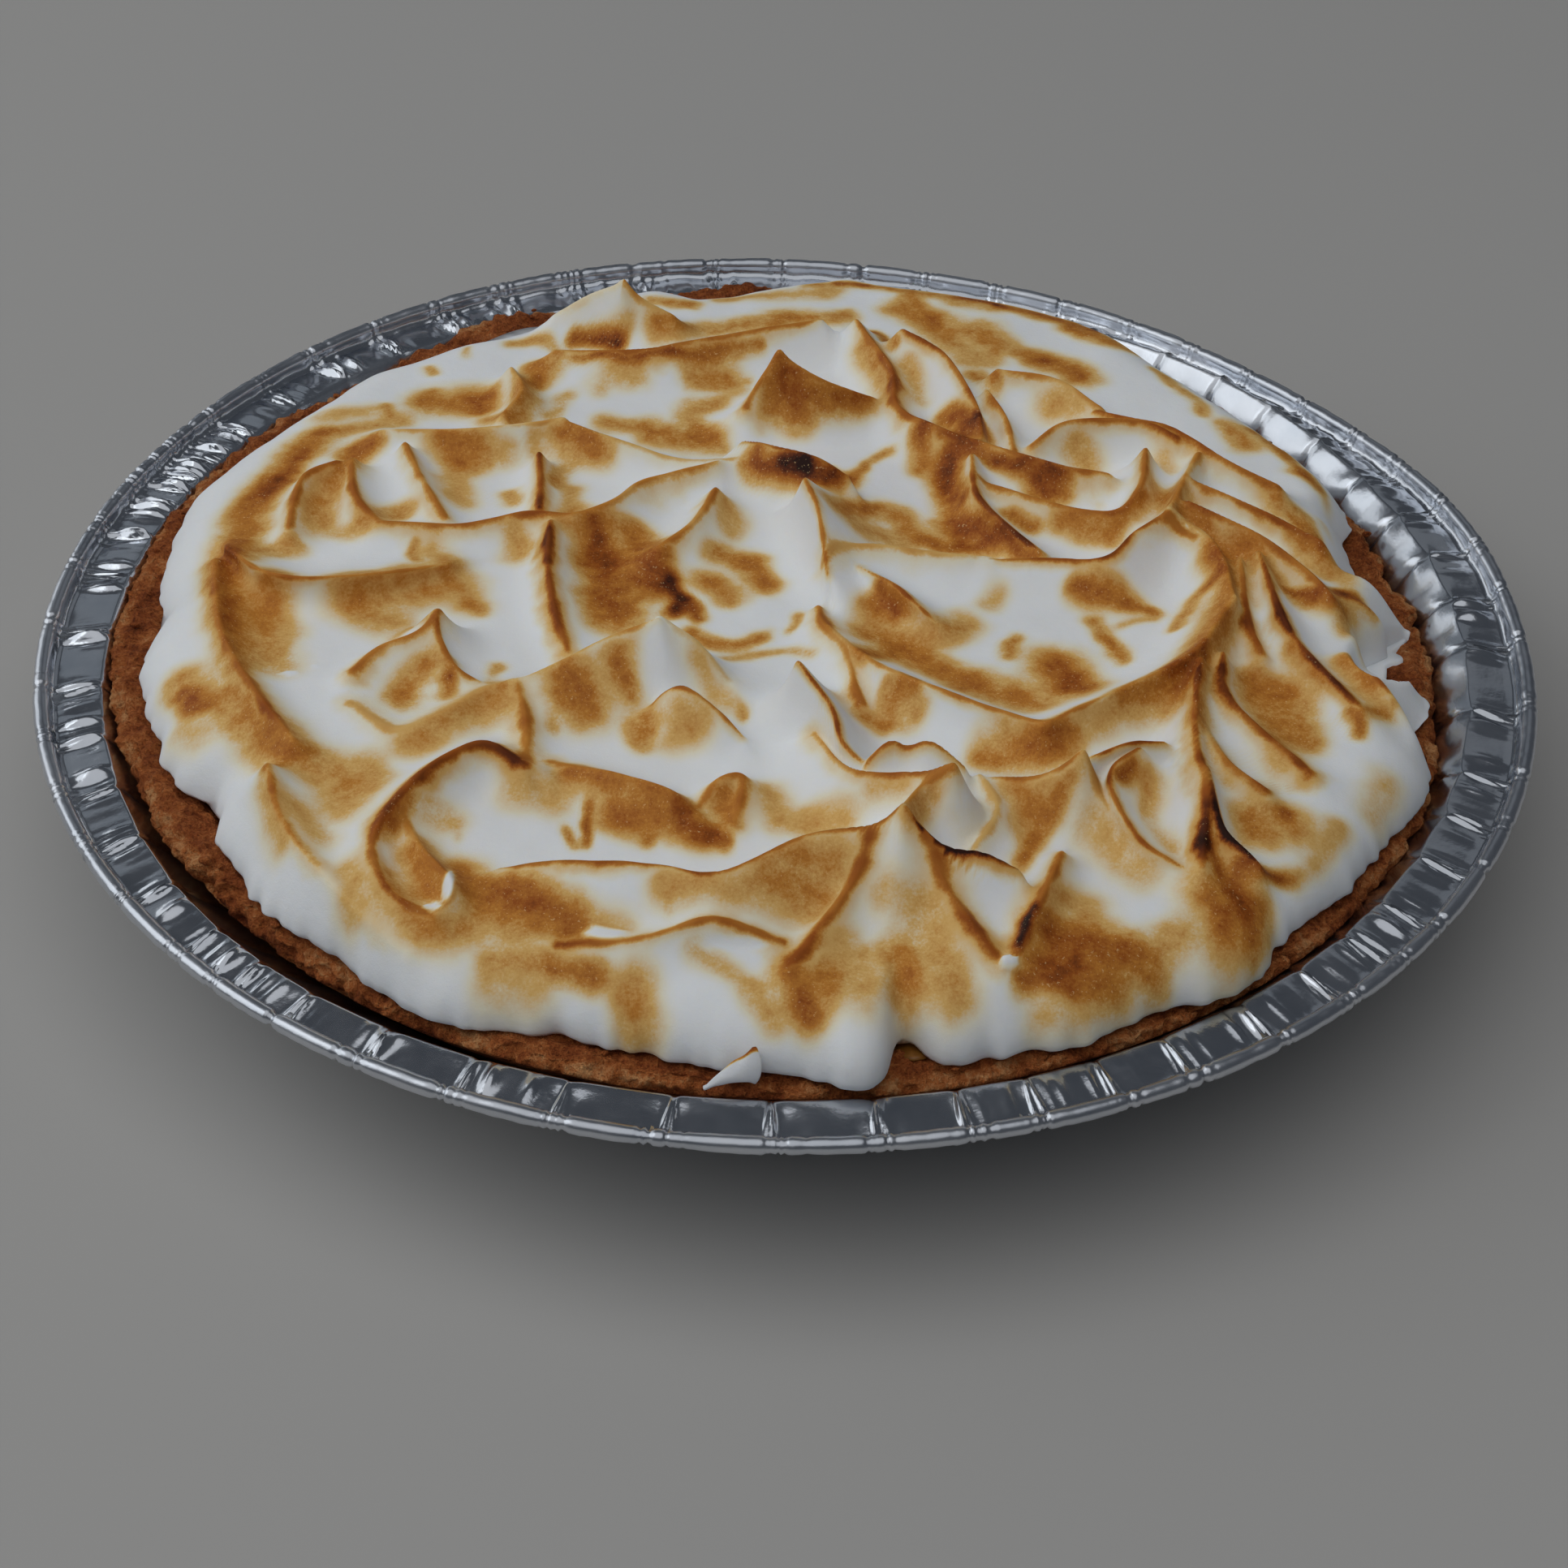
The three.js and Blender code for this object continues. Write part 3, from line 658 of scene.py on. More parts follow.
# Crests that the spoon left: scoop on the left, scoop on the right, lean of the tip, scorch of the tip,
# and the marks that each runs through as (across, deep, height).
crests = {
    "leftFold": (10, 3, 1.5, 0.55, [(-87, 3, 40), (-79, -3.5, 41.5), (-68, -4.5, 41.5), (-52, 0, 40)]),
    "leftSwirl": (6, 5, 0, 0.6, [(-88, 0, 39.5), (-84, -18, 40), (-77, -32, 40), (-69, -45, 39.5)]),
    "leftShoulder": (7, 6, 0, 0.6, [(-72, -50, 41), (-68, -62, 39.5), (-59, -75, 39), (-48, -87, 37.5)]),
    "leafOuter": (5, 10, 0, 0.75,
        [(-36, -49, 41), (-43, -44, 43), (-51, -53, 42), (-55, -65, 40), (-52, -76, 39), (-45, -82, 38)]),
    "leafInner": (3, 4, 0, 0.5, [(-45, -82, 38), (-43, -76, 39.5), (-48, -68, 39.5), (-51.5, -61, 38.5)]),
    "petalLeft": (5, 8, 0, 0.55, [(-63, -28, 39), (-60, -22, 40.5), (-55, -18, 42), (-52.5, -12, 44)]),
    "petalRight": (5, 7, 1, 0.6, [(-52.5, -12, 44), (-51, -19, 42), (-48, -26, 40), (-44, -30, 38.5)]),
    "petalFoot": (8, 8, 0, 0.35,
        [(-62, -36, 38), (-55, -42, 38.5), (-49, -38, 39.5), (-44, -32, 40), (-39, -29, 41)]),
    "peakRidge": (5, 12, 1.5, 0.4, [(-39, -29, 41), (-33, -24, 43), (-26, -17.5, 45.5), (-19, -12.5, 48)]),
    "peakFall": (9, 9, 0, 0.25, [(-19, -12.5, 48), (-13, -18.5, 45), (-8, -28, 40)]),
    "crease": (6, 6, 0, 0.55, [(-38.5, -30, 41), (-36.5, -39, 40), (-35.5, -50, 39)]),
    "smallPeak": (5, 7, 1.2, 0.65,
        [(-19, -35, 39), (-17, -31, 42), (-14, -29.5, 44), (-9, -35, 42), (-5.5, -41, 39)]),
    "humpLeft": (6, 7, 0, 0.5, [(-32, -49, 38.5), (-22, -51, 41), (-15, -54, 41), (-12, -58, 39)]),
    "humpRight": (5, 5, 0, 0.5, [(-11, -58, 38), (-8.5, -51, 41), (-5, -50.5, 41), (-6, -61, 38)]),
    "frontLip": (4, 12, 2, 0.65,
        [(-37, -72, 37.5), (-28, -70, 40.5), (-16, -70, 41.5), (-7, -71, 42), (4, -63, 43.5),
         (14, -60, 45.5), (17, -57, 48)]),
    "frontArc": (6, 6, 0.5, 0.6, [(-28, -87, 37), (-17, -85, 39), (-8, -81, 40.5), (1.5, -85, 38)]),
    "frontRay": (6, 5, 0, 0.65, [(14, -64, 43), (9, -76, 40), (2, -90, 37.5)]),
    "veeLeft": (6, 7, 0, 0.62, [(18, -61, 45.5), (23, -73, 41), (30, -88, 37.5)]),
    "veeRight": (4, 5, 0, 0.6, [(39, -65, 40), (36, -74, 40), (32, -86, 38)]),
    "darkLip": (3, 8, 2, 1, [(17.5, -59, 47), (23, -64, 44), (28, -65.5, 43), (33, -69, 40.5)]),
    "twinSaddle": (6, 5, 0, 0.5, [(17, -57, 48), (20, -51.5, 45.5), (24.5, -47.5, 48)]),
    "blade": (6, 3, 1.5, 0.75, [(2, -22.5, 48.5), (7, -33, 46), (8.5, -41, 44), (12, -47, 42.5)]),
    "wave": (4, 5, 1, 0.7,
        [(12, -47, 42.5), (15.5, -41, 45), (18, -42.5, 44), (21.5, -41.5, 45), (26, -47, 42)]),
    "bladeFoot": (5, 8, 0.5, 0.55, [(5, -40, 41), (10, -47.5, 43), (18, -48.5, 44.5), (24.5, -47.5, 48)]),
    "bowlRim": (5, 4, 0, 0.35, [(28, -49, 40.5), (30.5, -56, 40), (27, -65, 40)]),
    "midRidge": (5, 8, 0.5, 0.55, [(30, -49.5, 40), (37, -48.5, 42), (43, -43, 46.5)]),
    "midFall": (6, 7, 0, 0.4, [(43, -43, 46.5), (44, -49, 43), (46, -56, 40)]),
    "darkArc": (5, 4, 1, 0.75, [(44, -44, 44), (50, -40.5, 44), (55, -40, 42)]),
    "arcLip": (6, 4, 1, 0.65,
        [(51, -41, 43), (47, -45.5, 42.5), (46.5, -52, 42), (50, -62, 40), (55.5, -68, 38.5)]),
    "longEssStart": (9, 7, 1, 0.5, [(5, -12, 41), (14, -23, 42.5), (26, -30.5, 43), (38, -36, 43)]),
    "longEssMiddle": (10, 8, 1, 0.5, [(38, -36, 43), (50, -27, 44), (61, -17, 45), (67.5, -4, 44.5)]),
    "longEssEnd": (8, 8, 0.5, 0.5, [(67.5, -4, 44.5), (67.5, 6, 44), (65, 14, 43.5), (60, 21, 44)]),
    "spine": (6, 6, 0, 0.78, [(61.5, -18, 45), (59.5, -36, 43), (59.5, -52, 42), (58, -67, 39.5)]),
    "spineFork": (4, 5, 0.5, 0.95, [(60.5, -46, 42), (61.5, -58, 41), (66, -66, 39)]),
    "rayNear": (5, 6, 0, 0.75, [(65, -17, 43), (65, -29, 41), (75, -46, 38)]),
    "rayLow": (4, 5, 0, 0.55, [(61, -36, 41.5), (63.5, -44, 40.5), (68, -50, 39)]),
    "rayHigh": (5, 5, 0, 0.68, [(70, 8, 43), (69.5, -8, 42), (71, -17, 40.5)]),
    "rayFar": (6, 6, 0.5, 0.8, [(73, 10, 43), (75, -8, 42), (79, -20, 41), (84, -31, 39)]),
    "rightEdge": (5, 5, 0.5, 0.6, [(83, -17, 39), (88, -24, 39.5), (92, -33, 37)]),
    "smallLeaf": (5, 4, 1.2, 0.65, [(11, 2, 41), (16, -2, 42.5), (20, -8, 41.5), (22.5, -12, 40)]),
    "veeCrease": (4, 4, 0, 0.6, [(5, -8, 41), (7, -14, 41), (9.5, -19, 41)]),
    "drip": (3, 4, 0, 0.55, [(9.5, -19, 41), (10.5, -27, 40.5), (11.5, -32, 39.5)]),
    "backShelfLeft": (7, 7, 0.5, 0.4, [(-67, 38, 40), (-50, 40, 42), (-38, 43.5, 43)]),
    "backShelfRight": (7, 8, 0.5, 0.35, [(-38, 43.5, 43), (-28, 37, 42), (-18, 32, 41), (-7, 32, 41.5)]),
    "combOuter": (5, 5, 0, 0.6, [(-73, 29, 41.5), (-78, 24, 41), (-78, 9, 39.5)]),
    "combMiddle": (6, 5, 0, 0.62, [(-71, 30, 41.5), (-69, 19, 41), (-64, 11, 39.5)]),
    "combInner": (5, 5, 0, 0.65, [(-63, 35, 41.5), (-59, 24, 41), (-54, 13, 40)]),
    "shelfFront": (6, 7, 0, 0.62, [(-64, 11, 40), (-51, 11, 40.5), (-42, 15, 41.5), (-34, 14.5, 41.5)]),
    "shelfRise": (6, 7, 0, 0.5, [(-34, 14.5, 41.5), (-28, 19, 42), (-23, 26, 42), (-12, 31, 42)]),
    "darkVee": (4, 4, 0, 0.78, [(-41, 33, 42), (-40, 24, 41), (-39.5, 17, 40.5)]),
    "longWall": (7, 5, 0, 0.8, [(-37.5, 13, 42), (-37, 2, 42), (-35, -10, 41), (-32, -21, 39)]),
    "innerFold": (6, 7, 0, 0.6, [(-12, 24, 43), (-15, 14, 42.5), (-20, 6, 41)]),
    "backLeftPeak": (6, 8, 0, 0.15, [(-42, 78, 40), (-36, 85, 43), (-31, 89, 45.5)]),
    "backLeftFall": (6, 6, 0, 0.45, [(-31, 89, 45.5), (-27, 83, 43), (-22, 78, 41)]),
    "backBand": (5, 8, 0.5, 0.55, [(-41, 65, 40), (-26, 66, 41.5), (-12, 72, 42.5), (4, 78, 43)]),
    "backTab": (5, 5, 0, 0.5, [(-48, 59, 41), (-45.5, 52, 41.5), (-48, 44, 41)]),
    "backPeakRight": (6, 8, 0, 0.5, [(-3, 65.5, 49), (4, 58, 46), (13, 53, 42)]),
    "backPeakLeft": (7, 8, 0, 0.7, [(-3, 65.5, 49), (-6, 57, 45.5), (-8, 49, 42)]),
    "burntLip": (4, 6, 1.5, 0.8, [(-8, 38, 43), (-3, 36, 44.5), (4, 33, 44.5), (9, 28, 42)]),
    "whiteEdge": (4, 14, 1, 0.6, [(6, 0, 42), (5, 12, 45), (4, 20, 46.5), (2, 27, 47)]),
    "backRoll": (8, 7, 0, 0.6, [(10, 78, 43), (16, 62, 43), (17, 50, 42), (24, 42, 42)]),
    "backRidge": (5, 7, 0.5, 0.7, [(18, 75, 43.5), (25, 67, 43.5), (30, 52, 43.5), (31, 41, 42.5)]),
    "backRidgeTwin": (4, 5, 0, 0.6, [(32, 56, 42.5), (35, 47, 42.5), (36, 38, 42)]),
    "darkBand": (7, 7, 0, 0.6, [(20, 45, 42), (30, 40, 43), (40, 34.5, 43), (51, 30.5, 42)]),
    "eastWall": (6, 5, 0.5, 0.78, [(29, 36, 43), (29.5, 24, 43), (34, 15, 42), (39, 8, 41.5)]),
    "veeFold": (6, 6, 0, 0.6, [(30, 27, 41), (41, 22, 41.5), (51, 20, 42), (56, 28, 43.5), (57.5, 39, 44)]),
    "arch": (7, 6, 0, 0.65, [(39, 39, 42), (45, 46, 43.5), (57, 47.5, 44), (63, 42, 43)]),
    "backLine": (6, 6, 0, 0.5, [(34, 62, 42), (43, 60, 42.5), (51, 51, 42)]),
    "outerFold": (6, 7, 0, 0.6, [(50, 50, 42), (61, 46, 43), (70, 36, 42.5), (78, 29, 41)]),
    "hook": (6, 7, 1, 0.68, [(30, 5, 41), (40, 6.5, 42), (49, 7, 43), (54, 14, 44.5), (60, 21, 45.5)]),
    "hookBack": (5, 6, 0, 0.5, [(60, 21, 45.5), (63, 30, 44), (66, 38, 43)]),
    "scoopTop": (5, 5, 0, 0.7, [(53, 12, 42.5), (59, 15.5, 43), (63, 12, 42.5)]),
    "rightRay": (6, 6, 0, 0.62, [(63, 24, 44.5), (72, 16, 43), (79, 7, 41.5), (83, -2, 40)]),
    "rightRayBack": (5, 5, 0, 0.6, [(64, 30, 43.5), (74, 22, 42.5), (83, 13, 40.5)]),
    "midCrest": (6, 7, 0, 0.4, [(6, 2, 41.5), (11, 8, 42), (24, 7, 42), (31, 5, 41.5)]),
}


def footRadius(angle):
    marks = np.array(foam["foot"])
    turn = np.degrees(angle) % 360
    blur = (-0.5, 0, 0.5)
    return sum(np.interp((turn + shift) % 360, marks[:, 0], marks[:, 1]) for shift in blur) / len(blur)


def tornEdge(angle):  # how far the foot's edge strays from its smooth line
    spot = fromPolar(angle, 100, 0 * angle)
    return foam["ragged"] * layers(spot, foam["edgeGrain"])


def seatHeight(angle):
    return brimHeight(angle) + foam["seatGap"]


def crestLines():  # each crest as a run of points, set back by its lean, which bends it over again later
    lines = []
    for left, right, lean, scorch, marks in crests.values():
        line = curve([(*settled(x, y, z), z) for x, y, z in marks], 6)
        along = np.gradient(line[:, :2], axis=0)
        along /= np.linalg.norm(along, axis=1, keepdims=True)
        steep = 1 if left < right else -1  # towards the narrower scoop
        across = steep * np.stack([-along[:, 1], along[:, 0]], axis=1)
        line[:, :2] -= lean * across
        lines.append((line, left, right, lean, steep, scorch))
    return lines


def foamShape(x, y, level):  # the foam's height, and how far crests lean there
    powers = np.zeros(len(x))
    push = np.zeros((len(x), 2))
    for line, left, right, lean, steep, _ in spoonLines:
        near = inReach(line, max(left, right, 9), x, y)
        away, side, top, along = nearestOn(line, x[near], y[near])
        rise = np.clip(top + foam["tipLift"] - level[near], 0, None)
        reach = np.maximum(np.where(side > 0, left, right), foam["steepest"] * rise)
        away = np.hypot(away, foam["tipRound"]) - foam["tipRound"]
        share = np.clip(1 - away / reach, 0, 1) ** 2
        powers[near] += (rise * share) ** foam["lead"]
        if lean:
            step = np.gradient(line[:, :2], axis=0)
            step /= np.linalg.norm(step, axis=1, keepdims=True)
            index, runs = along * (len(line) - 1), np.arange(len(line))
            stepX, stepY = np.interp(index, runs, step[:, 0]), np.interp(index, runs, step[:, 1])
            across = steep * np.stack([-stepY, stepX], 1)
            push[near] += across * (lean * share**2)[:, None]
    return level + powers ** (1 / foam["lead"]), push


def eased(points, times):  # a square mesh's points, each drawn towards its neighbours
    side = math.isqrt(len(points))
    grid = points.reshape(side, side, -1).copy()
    for _ in range(times):
        grid[1:-1] = 0.5 * grid[1:-1] + 0.25 * (grid[2:] + grid[:-2])
        grid[:, 1:-1] = 0.5 * grid[:, 1:-1] + 0.25 * (grid[:, 2:] + grid[:, :-2])
    return grid.reshape(len(points), -1)


def tipsNear(x, y, height):  # how far each place lies from the nearest crest's tip, and that tip's scorch
    best = np.full(len(x), 6.0)
    scorched = np.zeros(len(x))
    for line, _, _, lean, _, scorch in spoonLines:
        near = inReach(line, 7, x, y)
        away, _, top, along = nearestOn(line, x[near], y[near])
        length = np.linalg.norm(np.diff(line[:, :2], axis=0), axis=1).sum()
        toEnd = np.minimum(along, 1 - along) * length
        above = height[near] - top - foam["tipLift"]
        away = np.hypot(away, np.maximum(-above, above - 2).clip(0)) + 0.4 * (1 - smooth(toEnd / 3))
        away /= 1.9 - 0.9 * min(lean, 1)  # a thin lip is browned in a narrower line than a round crest
        nearer = away < best[near]
        best[near[nearer]] = away[nearer]
        scorched[near[nearer]] = scorch
    return best, scorched


def laidBack(places):  # places on the foam laid flat, put back on its top and down its rounded side
    angle, run = polar(places)
    flatPart, arc = footRadius(angle) - foam["shoulder"], foam["shoulder"] * 1.35
    down = np.clip((run - flatPart) / arc, 0, 1) * math.pi / 2
    reach = np.where(run < flatPart, run, flatPart + foam["shoulder"] * np.sin(down))
    return angle, reach * np.cos(angle), reach * np.sin(angle), np.cos(down)


def crowded(places):  # a square mesh's places on the foam laid flat, drawn together along the crests
    side = math.isqrt(len(places))
    limit = np.abs(places).max() + 1
    row = np.arange(-limit, limit + 1, foam["mapStep"])
    spots = np.stack([part.ravel() for part in np.meshgrid(row, row)], axis=1)
    _, x, y, _ = laidBack(spots)
    best = np.full(len(x), 9.0)
    for line, *_ in spoonLines:
        near = inReach(line, 4, x, y)
        best[near] = np.minimum(best[near], nearestOn(line, x[near], y[near])[0])
    pull = (1 + foam["crowd"] * np.exp(-((best / foam["crowdWidth"]) ** 2))).reshape(len(row), len(row))
    grid = places.reshape(side, side, 2).copy()
    for _ in range(foam["crowdRounds"]):
        column, line = np.rint((grid + limit) / foam["mapStep"]).astype(int).transpose(2, 0, 1)
        weight = pull[line, column][..., None]
        up, over = weight[1:] + weight[:-1], weight[:, 1:] + weight[:, :-1]
        total = up[1:, 1:-1] + up[:-1, 1:-1] + over[1:-1, 1:] + over[1:-1, :-1]
        drawnTo = up[1:, 1:-1] * grid[2:, 1:-1] + up[:-1, 1:-1] * grid[:-2, 1:-1]
        drawnTo += over[1:-1, 1:] * grid[1:-1, 2:] + over[1:-1, :-1] * grid[1:-1, :-2]
        grid[1:-1, 1:-1] = 0.3 * grid[1:-1, 1:-1] + 0.7 * drawnTo / total
    return grid.reshape(-1, 2)


def domeLevel(x, y):
    return foam["topHeight"] + foam["crown"] * (1 - (x**2 + y**2) / crust["brimRadius"] ** 2)


def underEdge(turn, inner):
    return np.maximum(inner + 1.4, footRadius(turn) + tornEdge(turn) - foam["footRound"]), seatHeight(turn)


def overBrim(turn, inner):
    return inner + 0.7, seatHeight(turn)


def overFilling(turn, inner):
    return np.minimum(inner, footRadius(turn) - 6), np.full(len(turn), fillingLevel + 0.4)


def makeMeringue():
    side = foam["squares"]
    bpy.ops.object.select_all(action="DESELECT")
    bpy.ops.mesh.primitive_grid_add(x_subdivisions=side, y_subdivisions=side, size=2)
    piece = bpy.context.object
    piece.name = "meringueTop"
    flat = np.empty(len(piece.data.vertices) * 3, np.float32)
    piece.data.vertices.foreach_get("co", flat)
    a, b = flat.reshape(-1, 3)[:, :2].astype(float).T
    # The square is rounded to a disc, ring by ring.
    wide = np.abs(a) > np.abs(b)
    ringShare = np.where(wide, np.abs(a), np.abs(b))
    with np.errstate(divide="ignore", invalid="ignore"):
        turn = np.where(wide, math.pi / 4 * b / a, math.pi / 2 - math.pi / 4 * a / b)
    turn = np.nan_to_num(turn)
    radius = np.where(wide, a, b)
    angle = np.arctan2(radius * np.sin(turn), radius * np.cos(turn))
    run = ringShare * (footRadius(angle) + 0.35 * foam["shoulder"])
    places = crowded(np.stack([run * np.cos(angle), run * np.sin(angle)], axis=1))
    angle, x, y, fullness = laidBack(places)
    waist = seatHeight(angle) + foam["footRound"]
    level = waist + (domeLevel(x, y) - waist) * fullness ** (1 + bumps(foam["thin"], angle))
    height, push = foamShape(x, y, level)
    height = level + (height - level) * fullness**2
    tipAway, tipScorch = tipsNear(x, y, height)
    points = np.stack([x + push[:, 0] * fullness, y + push[:, 1] * fullness, height], axis=1)
    spot = points * (1, 1, 0)
    points[:, 2] += fullness * layers(spot, foam["topGrain"])
    out = (1 - fullness) * layers(spot, foam["sideGrain"])
    out += tornEdge(angle) * (1 - fullness) ** 2
    points[:, 0] += out * np.cos(angle)
    points[:, 1] += out * np.sin(angle)
    points = eased(points, foam["easing"])
    dropped, raised = dropShare(*points.T)
    points[:, 2] += raised
    setPoints(piece, points)
    setAmount(piece, "toast", eased(toastAndShadeAt(points), 1)[:, 0] * (1 - dropped))
    setAmount(piece, "tipAway", tipAway)
    setAmount(piece, "tipScorch", tipScorch * np.clip(fullness * 2, 0, 1) * (1 - dropped))
    # The underside: in along the brim, down to the filling and together in the middle.
    edit("NONE")
    bpy.ops.mesh.select_non_manifold()
    leave()
    for ringAt in (underEdge, overBrim, overFilling):
        before = len(piece.data.vertices)
        edit("KEEP")
        bpy.ops.mesh.extrude_edges_move(TRANSFORM_OT_translate={"value": (0, 0, -mm)})
        leave()
        points = pointsOf(piece)
        turn, _ = polar(points[before:])
        radius, height = ringAt(turn, brimRadius(turn) - crust["brimWidth"] - 1.6)
        points[before:] = fromPolar(turn, radius, height)
        setPoints(piece, points)
    edit("KEEP")
    bpy.ops.mesh.extrude_edges_move(TRANSFORM_OT_translate={"value": (0, 0, 0)})
    bpy.ops.mesh.merge(type="CENTER")
    bpy.ops.mesh.select_all(action="SELECT")
    bpy.ops.mesh.normals_make_consistent(inside=False)
    leave()
    bpy.ops.object.shade_smooth()
    return piece
